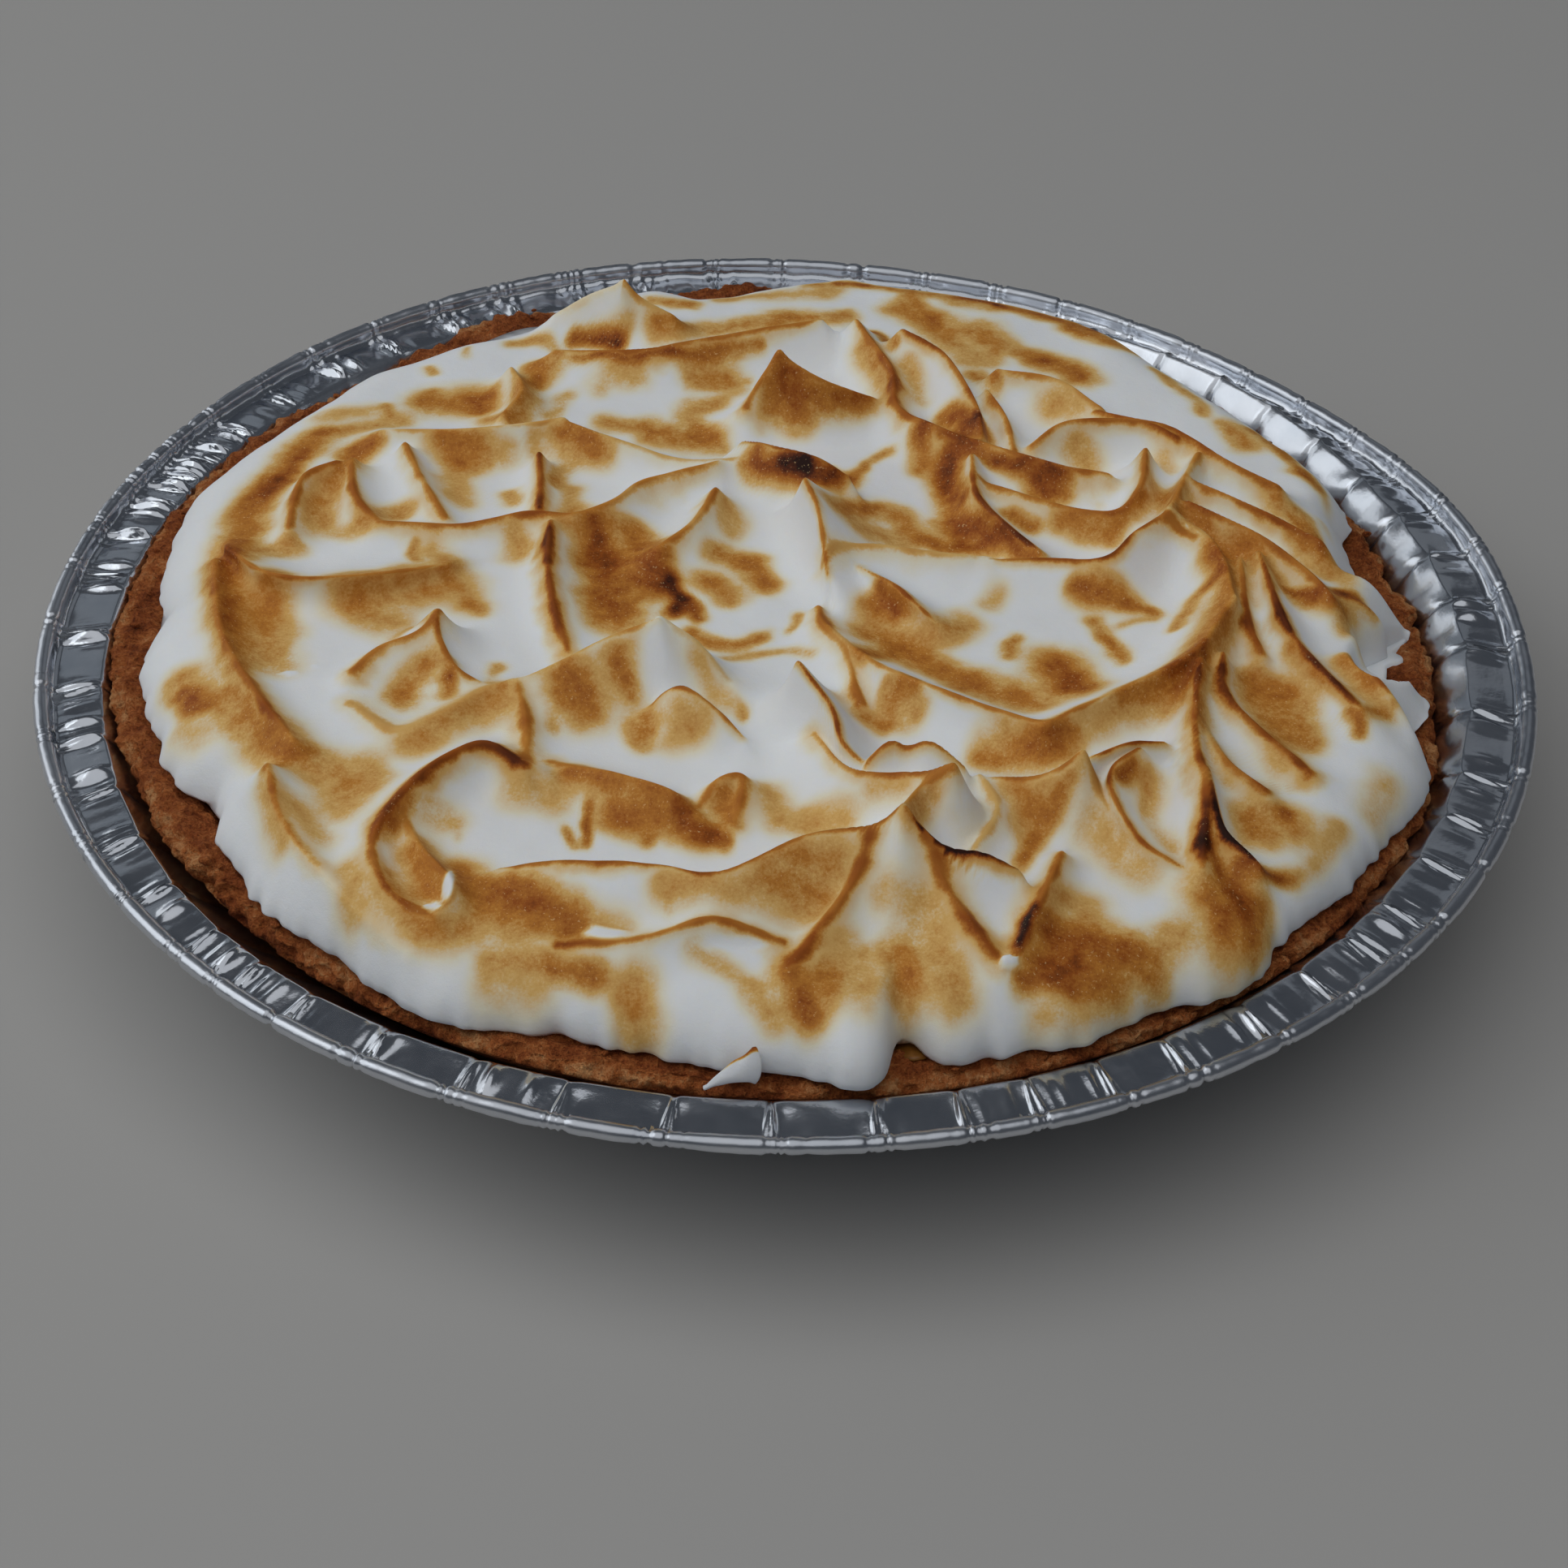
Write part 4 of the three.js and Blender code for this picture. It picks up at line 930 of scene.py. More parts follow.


# Where the flame has browned the foam, and a few dark strokes of painted shade, as in the hollow at the
# right edge: how dark, how wide to each side, and the marks that each runs through.
flameAndShadeStrokes = {
    "frontLeft": [
        (0.62, 5, (-86, 0), (-84, -12), (-80, -26)), (0.5, 6, (-78, -8), (-77, -16), (-75, -26)),
        (0.5, 5, (-88, -30), (-83, -36)), (0.68, 3, (-87, -33), (-84, -36)),
        (0.55, 6, (-80, -35), (-74, -42), (-70, -45)), (0.35, 4, (-86, -40), (-83, -42)),
        (0.45, 6.5, (-66, -6), (-60, -8), (-52, -6)), (0.48, 6, (-65, -12), (-60, -15)),
        (0.42, 5, (-50, -4), (-48, -10)), (0.5, 2.5, (-48, -10), (-47, -12)),
        (0.5, 1.2, (-60, -22), (-57, -18), (-54, -14)), (0.55, 1, (-41.5, -25), (-42.5, -30)),
        (0.6, 2, (-49, -25), (-48.5, -33)), (0.85, 1, (-49.5, -29)),
        (0.58, 4, (-53, -26), (-55, -32), (-54, -35)), (0.8, 1, (-55, -32.5)),
        (0.45, 6, (-52, -43), (-46, -38), (-41, -33)), (0.42, 5, (-42, -38), (-39, -36)),
        (0.6, 5, (-31, -27), (-29, -32)), (0.55, 6, (-30, -32), (-28, -36)),
        (0.5, 4, (-25, -23), (-24, -28)), (0.6, 2, (-25, -22), (-22, -31)),
        (0.35, 3, (-37, -29), (-30, -24), (-23, -19)), (0.75, 1.2, (-32.5, -41)), (0.35, 2.5, (-33, -40)),
        (0.72, 7, (-28, 3), (-27, -6), (-26, -12)), (0.68, 6, (-22, 2), (-20, -5)),
        (0.85, 2.5, (-18, -3), (-16.5, -8), (-17, -11)), (0.7, 2, (-16, -8), (-13, -12)),
        (0.7, 1.5, (-17, -9), (-18, -12)), (0.6, 4, (-6, 2), (-4, -3)), (0.5, 4, (-12, -2), (-9, -6)),
        (0.6, 2.2, (-14, -16), (-10, -19), (-6, -19), (-3, -16)), (0.6, 1, (1.5, -11), (1, -14)),
        (0.5, 1, (-9, -22), (-4, -22), (0, -20.5), (5, -19)), (0.55, 3.5, (-20, -38), (-20, -43)),
        (0.4, 4, (-16, -34), (-11, -38), (-15, -40)), (0.38, 3, (-13, -24), (-10, -30), (-8, -33)),
        (0.6, 0.8, (-6, -34)), (0.6, 0.8, (-6, -36)), (0.48, 6.5, (-66, -49), (-62, -53), (-60, -58)),
        (0.45, 5, (-58, -50), (-57, -55)), (0.6, 1.5, (-72, -50), (-68, -48), (-66, -46)),
        (0.4, 3, (-72, -54), (-70, -60), (-68, -66)), (0.4, 4, (-68, -58), (-62, -66)),
        (0.7, 3, (-52, -55), (-54, -63)), (0.55, 4, (-49, -66), (-47, -72), (-46, -78)),
        (0.6, 6, (-42, -74), (-38, -79), (-32, -82)), (0.62, 5, (-36, -76), (-30, -79), (-26, -83)),
        (0.5, 5, (-52, -74), (-47, -83), (-40, -84)), (0.4, 4, (-58, -72), (-56, -78)),
        (0.42, 4.5, (-48, -60), (-45, -62)), (0.7, 0.7, (-43.5, -65.5)),
        (0.62, 3, (-30, -51), (-22, -53), (-16, -55), (-12, -58)), (0.42, 5, (-36, -54), (-31, -57)),
        (0.6, 5, (-22, -58), (-18, -61)), (0.68, 4.5, (-13, -60), (-10, -64)),
        (0.58, 3, (-8, -53), (-7, -60)), (0.7, 2, (-9, -62), (-7, -66)),
        (0.8, 0.9, (-26, -58), (-26, -66)), (0.65, 1, (-29, -63), (-28, -66)), (0.7, 1.3, (-18, -65.5)),
        (0.6, 0.7, (-14.5, -65.5)), (0.4, 4, (-2, -54), (0, -60)), (0.4, 4, (3, -60), (9, -59)),
        (0.45, 4, (-14, -73), (-5, -74), (4, -73)), (0.5, 5, (0, -70), (5, -67)),
        (0.75, 1.2, (-32.5, -75)), (0.5, 1.9, (-26.5, -77)), (0.5, 0.9, (-22, -79)),
        (0.6, 0.6, (-14, -79)), (0.4, 3, (-24, -82), (-20, -82)), (0.5, 4, (-36, -89), (-28, -90)),
        (0.62, 3, (-28, -90), (-23, -92)), (0.35, 5, (-36, -92), (-30, -93)),
        (0.5, 5, (-18, -93), (-17, -97)), (0.4, 2.5, (-10, -87.5), (-4, -92)),
        (0.45, 3, (-2, -94), (0, -98)), (0.6, 4, (3, -90), (4, -96)),
    ],
    "frontRight": [
        (0.7, 3, (15, -5), (17, -9)), (0.55, 3.5, (13, -8), (18, -10)), (0.6, 5, (13, -15), (17, -18)),
        (0.48, 4.5, (22, -14), (26, -12)), (0.6, 4, (12, -19), (20, -20)),
        (0.62, 5, (20, -22), (27, -25), (33, -29)), (0.55, 5, (26, -28), (34, -31)),
        (0.62, 7, (40, -22), (42, -27)), (0.7, 4, (43, -25), (44, -27)), (0.5, 5, (34, -28), (38, -31)),
        (0.6, 1.6, (34.5, -15), (33, -20)), (0.65, 2.6, (19, -27), (16, -30)), (0.8, 0.9, (11.5, -31.5)),
        (0.5, 4, (15, -36), (19, -35)), (0.5, 3, (12, -36), (14, -38)),
        (0.62, 4, (30, -44), (36, -42), (41, -40)), (0.4, 5, (33, -39), (40, -38)),
        (0.4, 4, (44, -36), (50, -31)), (0.55, 5, (50, -30), (56, -25), (60, -20)),
        (0.62, 4, (57, -22), (62, -19)), (0.55, 5, (62, -16), (65, -8), (67, 0)),
        (0.6, 1.5, (58, -12), (61, -5), (65, 2)), (0.5, 4, (46, -1), (52, -6)),
        (0.6, 2, (44, 0), (50, -6), (55, -8)), (0.55, 2.5, (46, -10), (49, -18)),
        (0.6, 1.5, (47, -14), (50, -20)), (0.35, 3, (32, -3), (31, -7)), (0.4, 1, (50, -11), (55, -10)),
        (0.6, 5, (69, -26), (71, -34)), (0.62, 5, (73, -28), (74, -38)), (0.5, 5, (68, -30), (72, -42)),
        (0.6, 3, (61, -20), (60, -34)), (0.4, 3.5, (62, -40), (63, -48)), (0.7, 5, (62, -70), (63, -76)),
        (0.8, 2, (59.5, -60), (60.5, -70)), (0.75, 2, (64, -66), (70, -67)),
        (0.62, 4, (59, -74), (60, -80)), (0.6, 4, (65, -74), (64, -80)), (0.4, 6, (58, -70), (60, -82)),
        (0.58, 5, (65, -57), (66, -60)), (0.5, 6, (68, -56), (71, -58)),
        (0.8, 1, (70, -54.5), (70, -56.5)), (0.42, 2.5, (78, -56), (75, -62), (71, -67)),
        (0.35, 4, (86, -46), (83, -51)), (0.5, 0.7, (82, -53), (83, -55)), (0.5, 3, (76, -14), (80, -24)),
        (0.55, 4, (83, -19), (87, -23)), (0.7, 1.5, (83, -30), (83.5, -36)),
        (0.6, 2, (84, -31), (88, -31)), (0.4, 5, (84, -26), (86, -30)), (0.5, 2, (90, -24), (92, -26)),
        (0.5, 4, (82, -1), (85, -4)), (0.5, 3, (85, -5), (84, -10)), (0.6, 3, (79, -3), (83, -2)),
        (0.78, 1.6, (77, -2), (82, -1), (87, -1.8), (90, -5.5), (92.5, -9.5)), (0.6, 2, (85.3, -5.3)),
        (0.9, 2.2, (88, -13), (91, -12)), (0.6, 1.2, (86.5, -24), (92, -24.6)), (0.75, 1, (90, -27)),
        (0.7, 1, (71, -17)), (0.7, 1.5, (50, -46), (48, -48)),
        (0.4, 3.5, (52, -48), (51, -56)), (0.5, 1, (51, -53), (50, -56)),
        (0.4, 2.5, (52, -60), (54, -64)), (0.5, 4.5, (33, -52), (35, -57)),
        (0.55, 2.5, (40, -50), (38, -55)), (0.6, 2.5, (38, -57), (35, -64), (33, -68)),
        (0.4, 4, (37, -52), (33, -60)), (0.38, 5, (44, -58), (46, -64), (50, -68)),
        (0.4, 2.5, (43, -44), (41, -50)), (0.4, 2.5, (13, -51), (18, -51)),
        (0.48, 3, (22, -51), (20, -55), (18, -59)), (0.45, 5, (4, -70), (8, -68)),
        (0.5, 6, (1, -74), (6, -76)), (0.42, 6, (10, -87), (12, -94)), (0.97, 1.3, (34, -79), (32.3, -84)),
        (0.85, 0.8, (35.5, -75), (34, -79)),
        (0.62, 5, (8, -92), (5, -96)), (0.55, 5, (17, -86), (18, -92)),
        (0.45, 6, (20, -78), (22, -86), (24, -93)), (0.35, 4, (14, -74), (20, -76)),
        (0.7, 0.8, (12.5, -86)), (0.4, 3, (24, -74), (27, -81), (30, -85)),
        (0.68, 6, (37, -82), (43, -83)), (0.62, 6, (36, -88), (44, -89)),
        (0.72, 2, (33, -91), (38, -91), (44, -91)), (0.65, 5, (46, -84), (50, -86)),
        (0.48, 5, (52, -82), (54, -81)), (0.95, 1, (40, -86.5)), (0.35, 5, (38, -74), (42, -76)),
        (0.4, 4, (41, -94), (36, -95)), (0.5, 1.2, (25, -95), (27, -96)), (0.38, 4, (37, -72), (42, -78)),
    ],
    "backLeft": [
        (0.6, 6, (-85, 3), (-85, 12), (-82, 22)), (0.62, 5, (-83, 20), (-80, 30), (-77, 36)),
        (0.6, 2.5, (-82, 18), (-81, 26), (-79, 31)), (0.45, 4, (-76, 36), (-70, 39), (-65, 41)),
        (0.35, 4, (-77, 42), (-70, 44)), (0.5, 5, (-74, 10), (-73, 20)), (0.55, 3, (-72, 24), (-70, 30)),
        (0.6, 4, (-71, 30), (-69, 35)), (0.5, 4, (-66, 13), (-61, 14)),
        (0.52, 5, (-57, 37), (-52, 35), (-51, 30)), (0.5, 4, (-56, 32), (-53, 27)),
        (0.42, 4, (-54, 24), (-52, 18)), (0.4, 3.5, (-49, 30), (-46, 31)),
        (0.5, 1.5, (-42, 38), (-41, 32)), (0.6, 1.5, (-37, 28), (-38.5, 24)),
        (0.55, 2, (-44, 20), (-43, 18)), (0.5, 2.5, (-35, 21), (-35, 18)),
        (0.62, 4.5, (-37, 40), (-32, 38)), (0.5, 4, (-36, 35), (-30, 34)), (0.6, 6, (-22, 39), (-15, 38)),
        (0.6, 4, (-17, 43), (-13, 36)), (0.5, 4, (-18, 46), (-13, 50)), (0.35, 4, (-14, 50), (-10, 54)),
        (0.5, 4, (-30, 42), (-24, 42)), (0.55, 6.5, (-60, 47), (-53, 48)),
        (0.62, 3.5, (-51, 49), (-52, 46)), (0.58, 3, (-62, 47), (-60, 50)),
        (0.55, 1.5, (-68, 46), (-67, 42)), (0.6, 3.5, (-44, 60), (-44, 54), (-46, 47)),
        (0.55, 3, (-47, 45), (-50, 42)), (0.5, 4, (-41, 62), (-43, 58)),
        (0.45, 2.5, (-38, 50), (-40, 44)), (0.5, 1, (-62, 58), (-61, 56)),
        (0.4, 1.2, (-56, 66), (-55.5, 62)), (0.5, 2.5, (-48, 67), (-43, 68)),
        (0.5, 1.5, (-42, 68), (-41, 62)), (1.15, 2, (-38, 68.8), (-34, 68.6), (-31, 67.8)),
        (0.7, 1.2, (-38, 63), (-25, 65), (-15, 66), (-6, 70)), (0.6, 2, (-22, 66), (-14, 68), (-6, 71)),
        (0.52, 4, (-24, 74), (-14, 74), (-4, 76)), (0.5, 4, (-4, 77), (6, 78)),
        (0.4, 2.5, (-34, 71), (-29, 76)), (0.5, 2.5, (-25, 82.5), (-18, 82)),
        (0.42, 4, (-13, 86), (-4, 87), (5, 88)), (0.42, 4, (-31, 57), (-27, 57)), (0.35, 3, (-33, 52)),
        (0.5, 4, (-17, 59), (-12, 58)), (0.45, 1, (-18, 54), (-8, 57)), (0.4, 4, (-10, 19), (-9, 12)),
        (0.55, 4, (-10, 5), (-6, 2)), (0.72, 6, (-30, 9), (-28, 2)), (0.7, 4, (-24, 10), (-22, 6)),
        (0.45, 4, (-36, 13), (-34, 16)), (0.45, 4, (-44, 13), (-42, 8), (-41, 4)),
        (0.38, 2.5, (-70, 8), (-66, 9), (-62, 11)), (0.5, 3, (-80, 3), (-76, 5)),
        (0.6, 0.9, (-58.5, 6), (-57, 1)), (0.42, 4, (-55, 3), (-52, 1)),
        (0.68, 4.5, (-3, 60), (-2, 55), (0, 51)), (0.65, 3.5, (0, 56), (7, 53), (12, 53)),
        (0.5, 4, (-4, 48), (2, 46)), (0.98, 2, (-6, 34.8), (-2, 33), (2, 31), (6, 29.4)),
        (0.75, 3, (-6.5, 34.4), (0, 31.2), (9, 27.6)), (0.55, 1.2, (10, 29), (13, 33), (16, 36)),
    ],
    "backRight": [
        (0.5, 5, (8, 19), (14, 18)), (0.5, 5, (12, 13), (17, 10)), (0.6, 3, (10, 19), (13, 19)),
        (0.55, 4, (17, 17), (20, 11)), (0.68, 4, (25, 15), (28, 13)), (0.7, 4, (26, 9), (31, 9)),
        (0.62, 3, (22, 10), (24, 8)), (0.72, 3, (30, 15), (34, 12)), (0.65, 3, (34, 11), (38, 7.5)),
        (0.75, 4, (26, 34), (25, 27), (26, 20)), (0.5, 3, (21, 36), (21, 30)),
        (0.5, 4, (12, 70), (15, 62), (17, 54)), (0.45, 3, (19, 62), (20, 52)),
        (0.65, 2, (13, 74), (17, 71)), (0.78, 4, (22, 44), (27, 42), (30, 40)),
        (0.75, 3, (30, 48), (31, 42)), (0.7, 3, (25, 46), (29, 44)),
        (0.7, 2, (30, 36), (36, 34), (42, 34)), (0.68, 3.5, (39, 31), (43, 31)),
        (0.65, 4, (40, 29), (42, 26)), (0.5, 4.5, (46, 38), (47, 34)), (0.42, 5, (43, 52), (48, 52)),
        (0.5, 6, (32, 75), (34, 70)), (0.5, 5, (18, 83), (23, 77), (27, 69)),
        (0.5, 5, (24, 79), (31, 74)),
        (0.45, 5, (29, 66), (33, 66)), (0.6, 3, (30, 60), (33, 59)),
        (0.66, 5, (42, 66), (46, 64), (48, 61)), (0.5, 3, (38, 68), (40, 68)),
        (0.5, 4, (-4, 79), (8, 79)), (0.55, 3.5, (20, 89), (30, 87)),
        (0.7, 2.5, (52, 78), (44, 82), (35, 86)),
        (0.75, 2.2, (35, 86), (27, 88.5)), (0.75, 2, (12, 91), (7, 91.5)), (0.55, 2.5, (20, 90), (2, 91.5)),
        (0.6, 3, (30, 88), (38, 84), (44, 82)), (0.5, 3, (19, 87), (22, 82), (24, 78)),
        (0.4, 3, (27, 85), (34, 83)), (0.6, 3.5, (47, 78), (52, 75), (57, 73)),
        (0.5, 1.8, (61, 65), (64, 59), (67, 54), (68, 50)), (0.48, 4.5, (72, 46), (74, 41)),
        (0.6, 2, (76, 46), (80, 39), (84, 33)), (0.6, 3, (82, 34), (85, 31)),
        (0.65, 1.6, (79, 19), (84, 14), (87.5, 12)), (0.5, 1.4, (84, 22), (88, 15)),
        (0.5, 3, (77, 27), (77, 22)), (0.55, 2.5, (80, 22), (82, 18), (83, 12)),
        (0.6, 3, (79, 16), (83, 13)), (0.5, 4, (71, 14), (74, 8), (75, 3)), (0.45, 4, (80, 10), (83, 4)),
        (0.6, 4, (60, 24), (62, 20)), (0.65, 3, (64, 22), (66, 14), (67, 6)), (0.55, 5, (68, 8), (68, 0)),
        (0.6, 2.2, (56, 26), (53, 19), (50, 14)), (0.55, 3.5, (43, 18), (50, 16)),
        (0.35, 3, (60, 38), (60, 32)), (0.45, 4, (58, 27), (63, 26)), (0.6, 2.5, (34, 17), (38, 15)),
        (0.4, 2, (86, 30), (87, 22)), (0.4, 2.5, (85, 6), (86, 1)),
    ],
}


# How brown each place is from the strokes; a few of them paint shade, as in the hollow at the right edge.
def toastAndShadeAt(points):
    powers = np.zeros(len(points))
    spot = points * (1, 1, 0)
    x = points[:, 0] + 0.9 * grain(spot, 4.5, 51) + 0.35 * grain(spot, 1.6, 52)
    y = points[:, 1] + 0.9 * grain(spot, 4.5, 53) + 0.35 * grain(spot, 1.6, 54)
    for (dark, wide), line in onFoam():
        reach = wide * 1.2 + 0.25
        near = inReach(line, reach, x, y)
        away, _, height, _ = nearestOn(line, x[near], y[near])
        away = np.hypot(away, 0.4 * (points[near, 2] - height))
        powers[near] += (1.06 * dark**1.25 * smooth((reach - away) / reach)) ** 4
    return powers**0.25


drops = {  # small white drops and pockets on the foam: half width, half depth, rise, and place as seen
    "oval": (2.9, 1.2, 0.5, -22, -84.5),
    "pocket": (4.5, 1.6, -0.4, -5, -85.5),
    "pearl": (1.3, 1.2, 0.9, 31, -88),
    "leafRim": (0.8, 3.2, 0.35, -43.6, -75.5),
    "leafRimEnd": (1.3, 0.6, 0.3, -45.2, -80),
    "fleck": (1.3, 0.7, 0.2, -72, -29),
    "fleckTwin": (0.8, 0.6, 0.2, -68.5, -27),
    # The strokes over this hollow paint shade into it as well as browning.
    "dip": (6, 5.8, -5, 91, -16.5),  # a hollow at the edge, toasted like the foam round it
}


def dropShare(x, y, height):  # how much of the nearest drop lies over each place, and how far drops lift it
    most = np.zeros(len(x))
    lift = np.zeros(len(x))
    for wide, deep, rise, across, along in drops.values():
        placed = settled(across, along, np.maximum(height, foam["topHeight"] - 9))
        away = np.hypot((x - placed[0]) / wide, (y - placed[1]) / deep)
        share = smooth((1.25 - away) / 0.6)
        if rise > -1:
            most = np.maximum(most, share)
        lift += rise * share
    return most, lift


def onFoam():  # the strokes of the flame and of painted shade, seen on the level, put where their sight lines meet the foam
    strokes = [stroke for group in flameAndShadeStrokes.values() for stroke in group]
    lines = []
    for _, _, *run in strokes:
        marks = np.array(run if len(run) > 1 else [run[0], (run[0][0] + 0.1, run[0][1] + 0.1)], float)
        longest = np.linalg.norm(np.diff(marks, axis=0), axis=1).max()
        lines.append(curve(marks, max(1, round(longest / 1.6))))
    marks = np.vstack(lines)
    low = np.full(len(marks), foam["topHeight"] - 9.0)
    for height in range(27, 50):
        low = np.where(isInside(marks, height), height, low)
    high = low + 1
    for _ in range(5):
        middle = (low + high) / 2
        inside = isInside(marks, middle)
        low, high = np.where(inside, middle, low), np.where(inside, high, middle)
    x, y = settled(marks[:, 0], marks[:, 1], low)
    placed = np.split(np.stack([x, y, low], axis=1), np.cumsum([len(line) for line in lines])[:-1])
    return [(stroke[:2], evened(line)) for stroke, line in zip(strokes, placed)]


def isInside(marks, height):  # whether sight lines through the marks are in the foam at that height
    x, y = settled(marks[:, 0], marks[:, 1], height)
    under, _ = foamShape(x, y, domeLevel(x, y))
    return under >= height


def evened(line):  # the line with its small jumps taken out
    line = line.copy()
    for _ in range(2):
        line[1:-1] = 0.5 * line[1:-1] + 0.25 * (line[2:] + line[:-2])
    return line


def meringueFinish():
    finish = Finish("toastedMeringue")
    # The toast amount is the flame's browning, with painted shade from a few strokes, as in the hollow at
    # the right edge.
    amount = finish.node("ShaderNodeAttribute", {"attribute_name": "toast"}, output="Fac")
    blotch = finish.noise(2.4, 4, 0.6)
    speckle = finish.noise(0.45, 3, 0.7)
    fine = finish.noise(0.22, 2, 0.6)
    uneven = (blotch - 0.5) * 0.45 + (speckle - 0.5) * 0.35
    away = finish.node("ShaderNodeAttribute", {"attribute_name": "tipAway"}, output="Fac")
    scorch = finish.node("ShaderNodeAttribute", {"attribute_name": "tipScorch"}, output="Fac")
    patch = finish.noise(9, 2, 0.5)
    away = away * (1.8 - patch * 1.6) + (finish.noise(4, 3, 0.5) - 0.5) * 1.2 + (speckle - 0.5) * 0.4
    scorch = scorch * (patch * 1.3 + 0.35)
    line, halo = 0.55 - finish.step(away, 0.1, 0.8) * 0.55, 0.42 - finish.step(away, 0.2, 2.6) * 0.42
    tip = scorch * line + scorch * halo
    cloud = finish.noise(11, 3, 0.5)
    broad = amount * (cloud * 1.1 + 0.45) + uneven * finish.step(amount, 0.02, 0.5)
    toast = finish.node("ShaderNodeMath", {"operation": "SMOOTH_MAX"}, {0: broad, 1: tip, 2: 0.15}) - 0.025
    colour = finish.ramp(
        toast,
        (0.0, tone(238, 240, 241)), (0.1, tone(238, 230, 206)), (0.26, tone(226, 184, 112)),
        (0.45, tone(198, 132, 52)), (0.66, tone(158, 84, 22)),
        (0.85, tone(98, 42, 9)), (1.0, tone(40, 15, 5)),
    )
    sugar = finish.step(finish.noise(0.4, 2, 0.5), 0.64, 0.72) * finish.step(amount, 0.25, 0.55)
    finish.set(
        BaseColor=finish.mix(sugar * 0.5, colour, tone(238, 204, 146)),
        Roughness=0.72 - finish.step(amount, 0.2, 0.8) * 0.1,
        SpecularIORLevel=0.25,
        SubsurfaceWeight=0.35,
        SubsurfaceRadius=(1.0, 0.85, 0.65),
        SubsurfaceScale=2.5 * mm,
        Normal=finish.bump(fine, 0.25, 0.15, finish.bump(blotch, 0.2, 0.6)),
    )
    return finish


flake = {
    "at": 267.5,
    "radius": 102.6,
    "lift": 0.2,
    "length": 7.4,
    "height": 5.2,
    "arch": 0.9,
    "thick": 0.6,
    "endRound": 0.8,  # how far the corners of its tall end are drawn in
}


def makeFlake():
    bpy.ops.object.select_all(action="DESELECT")
    bpy.ops.mesh.primitive_grid_add(x_subdivisions=28, y_subdivisions=16, size=2)
    piece = bpy.context.object
    piece.name = "meringueFlake"
    u, v, _ = pointsOf(piece).T * mm  # each from -1 to 1
    rise = (v + 1) / 2
    ridge = flake["height"] * np.clip((u + 1) / 1.8, 0.02, 1) ** 0.9
    arch = flake["arch"] * (1 - u**2)
    x = flake["length"] / 2 * u - flake["endRound"] * smooth(u * 1.6 - 0.6) * (2 * rise - 1) ** 2
    y = 0.7 * u - 0.3 + 1.5 * rise**1.5 * smooth((u + 1) / 1.2) - 0.9 * rise * (1 - rise)
    z = arch + np.maximum(ridge - arch, 0.2) * rise + 0.12 * grain(np.stack([x, y, rise * 4], 1), 1.2, 61)
    angle = math.radians(flake["at"])
    turn = angle + math.pi / 2
    seat = float(brimHeight(np.array([angle]))[0]) + flake["lift"]
    across, deep = x * math.cos(turn) - y * math.sin(turn), x * math.sin(turn) + y * math.cos(turn)
    setPoints(piece, np.stack([across + flake["radius"] * math.cos(angle),
                               deep + flake["radius"] * math.sin(angle), z + seat], axis=1))
    setAmount(piece, "toast", 0.75 * smooth((rise - 0.86) / 0.12) * smooth((u + 0.45) / 0.5))
    setAmount(piece, "tipAway", np.full(len(u), 6.0))
    thick = piece.modifiers.new("thick", "SOLIDIFY")
    thick.thickness = flake["thick"] * mm
    thick.offset = 0
    rounded = piece.modifiers.new("rounded", "SUBSURF")
    rounded.levels = rounded.render_levels = 1
    for modifier in ("thick", "rounded"):
        bpy.ops.object.modifier_apply(modifier=modifier)
    edit()
    bpy.ops.mesh.normals_make_consistent(inside=False)
    leave()
    bpy.ops.object.shade_smooth()
    return piece


crumbs = {
    "count": 34,
    "size": (0.5, 1.5),
    "radii": (98.5, 101.5),
    "shape": (1.15, 0.9, 0.75),
    "seed": 8,
    "onFoam": [(241.5, 97.6, 1.5), (238, 98.6, 0.9), (299, 99.4, 0.7)],  # at, radius, size
}


def makeCrumbs():
    draw = np.random.default_rng(crumbs["seed"])
    places = list(crumbs["onFoam"])
    for _ in range(crumbs["count"]):
        places.append((draw.uniform(0, 360), draw.uniform(*crumbs["radii"]), draw.uniform(*crumbs["size"])))
    made = []
    for at, radius, size in places:
        angle = np.array([math.radians(at)])
        bpy.ops.mesh.primitive_ico_sphere_add(subdivisions=3, radius=size / 2 * mm)
        crumb = bpy.context.object
        points = pointsOf(crumb)
        points *= 1 + 0.45 * grain(points + 10 * at, size * 0.5, 71)[:, None]
        points *= crumbs["shape"]
        seat = brimHeight(angle)[0] + 0.28 * size
        reach = min(radius, brimRadius(angle)[0] - 1.2)
        x, y = reach * math.cos(angle[0]), reach * math.sin(angle[0])
        setPoints(crumb, points + (x, y, seat))
        made.append(crumb)
    bpy.ops.object.select_all(action="DESELECT")
    for crumb in made:
        crumb.location = (0, 0, 0)
        crumb.select_set(True)
    bpy.context.view_layer.objects.active = made[0]
    bpy.ops.object.join()
    piece = bpy.context.object
    piece.name = "crustCrumbs"
    bpy.ops.object.shade_smooth()
    return piece


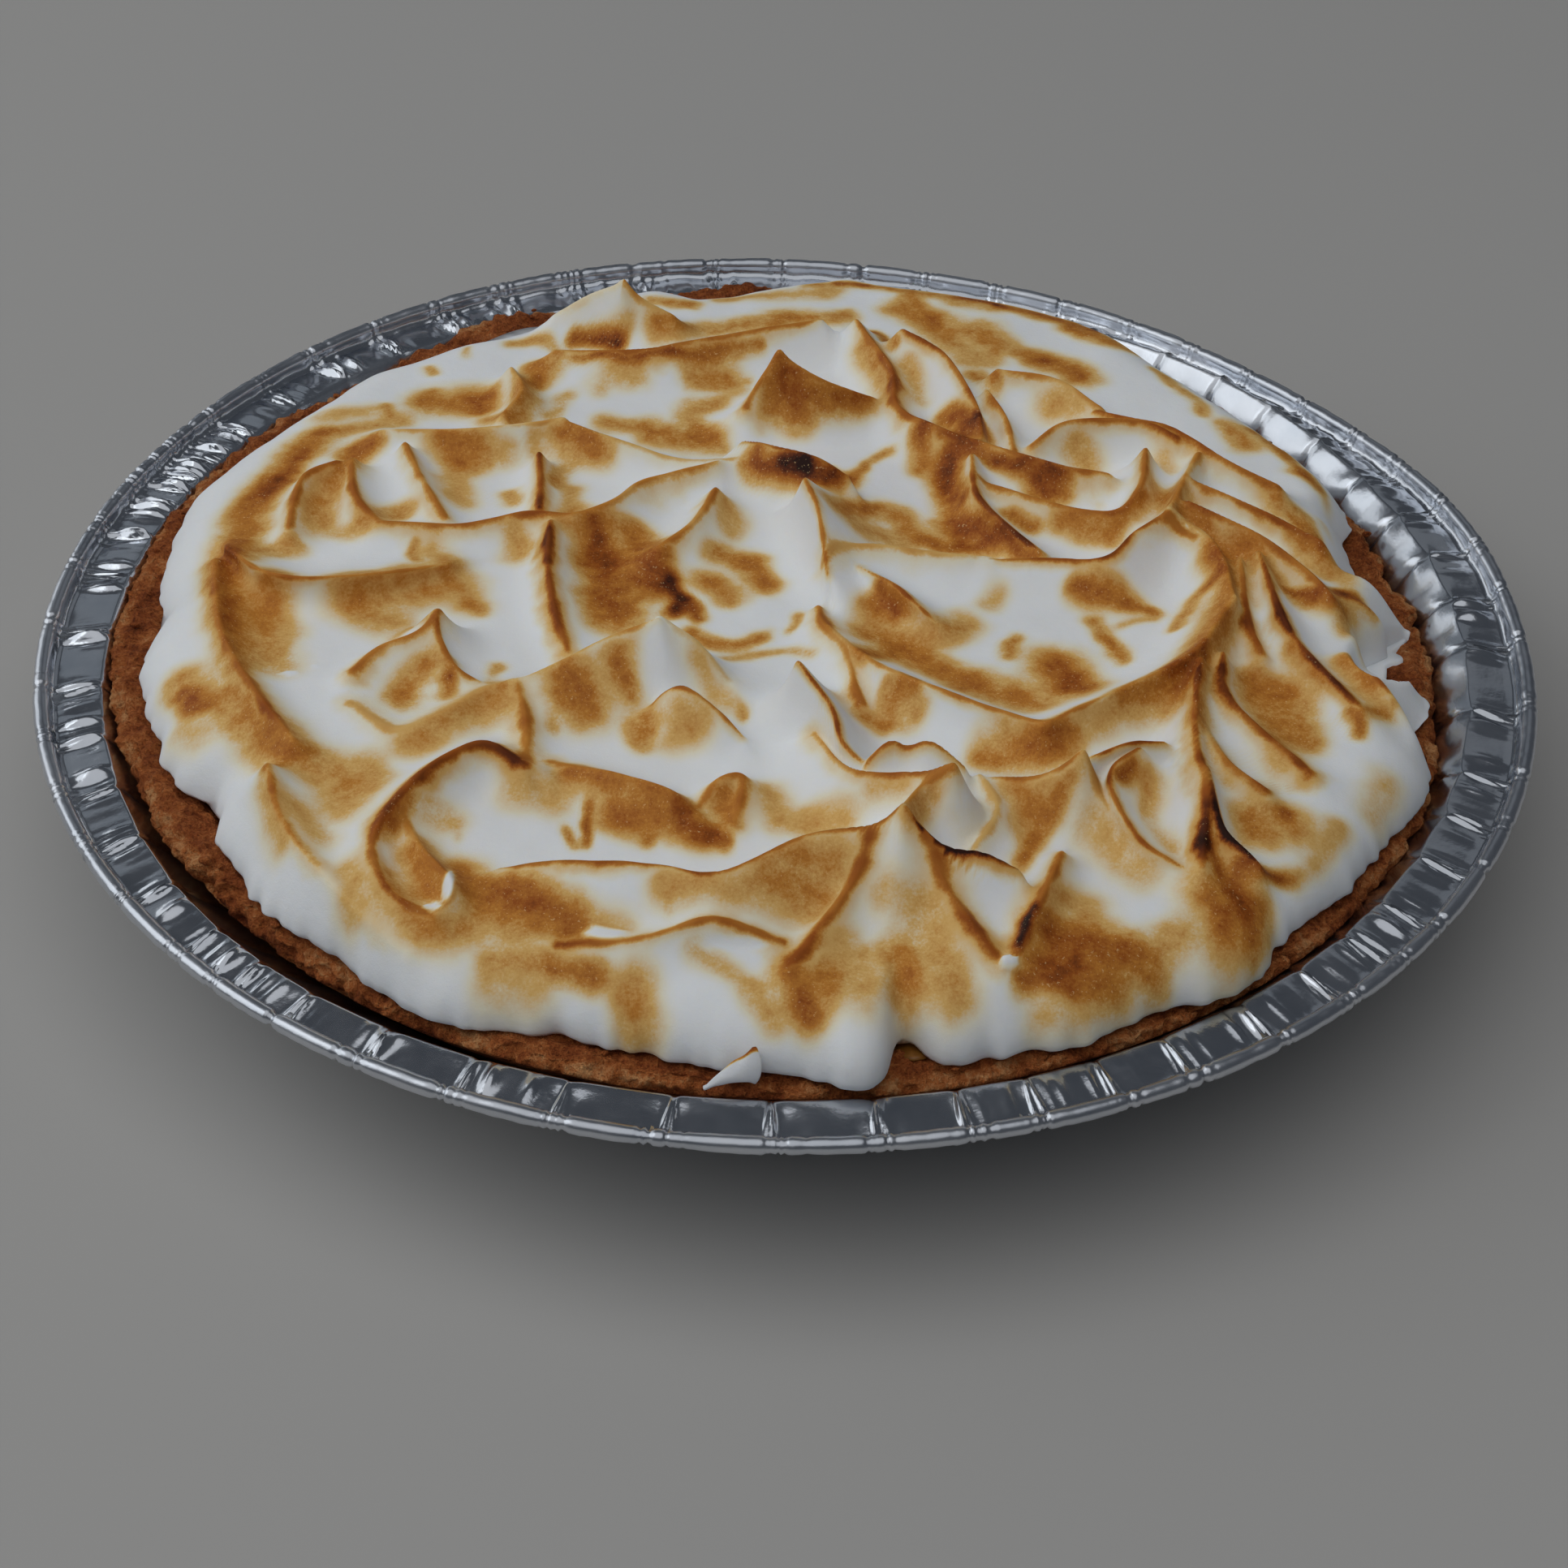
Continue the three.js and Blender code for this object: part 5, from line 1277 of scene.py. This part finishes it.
stage = {
    "floorSize": 6.0,
    "floor": (174, 172, 169),
    "lights": {  # power in watts, and whether the foil mirrors it
        "key": {"place": (-0.2, -0.4, 1.6), "size": 2.4, "power": 8,
            "colour": (0.98, 0.99, 1), "mirrored": False},
        "ceiling": {"place": (-0.2, -0.5, 1.6), "size": 2.4, "power": 7,
            "colour": (0.98, 0.99, 1), "mirrored": True},
        "window": {"place": (-1.35, 0.0, 0.95), "size": 1.6, "power": 6,
            "colour": (0.95, 0.98, 1), "mirrored": True},
        "glow": {"place": (-0.72, 1.3, 0.82), "size": 0.76, "power": 0.2,
            "colour": (0.85, 0.93, 1), "mirrored": True},
        "far": {"place": (0.45, 1.75, 1.1), "size": 1.1, "power": 0.3,
            "colour": (0.9, 0.95, 1), "mirrored": True},
        "side": {"place": (-1.25, 1.05, 0.5), "size": 1.0, "power": 1.8,
            "colour": (0.95, 0.98, 1), "mirrored": True},
    },
    "air": (0.055, 0.06, 0.068, 1),
    "airStrength": 1.0,
}


def makeStage():
    bpy.ops.object.select_all(action="DESELECT")
    bpy.ops.mesh.primitive_plane_add(size=stage["floorSize"])
    floor = bpy.context.object
    floor.name = "floor"
    finish = Finish("plainFloor")
    finish.set(BaseColor=tone(*stage["floor"]), Roughness=0.9)
    floor.data.materials.append(finish.material)
    for name, light in stage["lights"].items():
        bpy.ops.object.light_add(type="AREA", location=light["place"])
        lamp = bpy.context.object
        lamp.name = name
        lamp.data.shape = "DISK"
        lamp.data.size = light["size"]
        lamp.data.energy = light["power"]
        lamp.data.color = light["colour"]
        lamp.visible_glossy = light["mirrored"]
        lamp.rotation_euler = (-lamp.location).to_track_quat("-Z", "Y").to_euler()
    world = bpy.data.worlds.new("softRoom")
    bpy.context.scene.world = world
    world.use_nodes = True
    background = world.node_tree.nodes["Background"]
    background.inputs["Color"].default_value = stage["air"]
    background.inputs["Strength"].default_value = stage["airStrength"]
    bpy.context.scene.view_settings.view_transform = "Standard"


def makeCamera():
    bpy.ops.object.camera_add(location=[part * mm for part in view["place"]])
    camera = bpy.context.object
    turn = Matrix.Rotation(math.radians(-view["turn"]), 3, "Z")
    down = Matrix.Rotation(math.radians(90 - view["down"]), 3, "X")
    roll = Matrix.Rotation(math.radians(view["roll"]), 3, "Z")
    camera.rotation_euler = (turn @ down @ roll).to_euler()
    camera.data.lens = view["focal"]
    camera.data.sensor_width = view["frameWidth"]
    camera.data.clip_start = view["nearest"]
    bpy.context.scene.camera = camera


makeCamera()
makeStage()
print("camera and stage ready")

dress(makeTin(), foilFinish(), "foil", "foil_pan")
print("tin folded")
dress(makeCrust(), crustFinish(), "crust", "crust")
dress(makeFilling(), fillingFinish(), "filling", "lemon_filling")
print("crust and filling set")
spoonLines = crestLines()
toasted = meringueFinish()
dress(makeMeringue(), toasted, "meringue", "meringue")
dress(makeFlake(), toasted, "meringue", "meringue_flake")
print("meringue spread and toasted")
dress(makeCrumbs(), crustFinish(), "crust")
print("crumbs scattered")
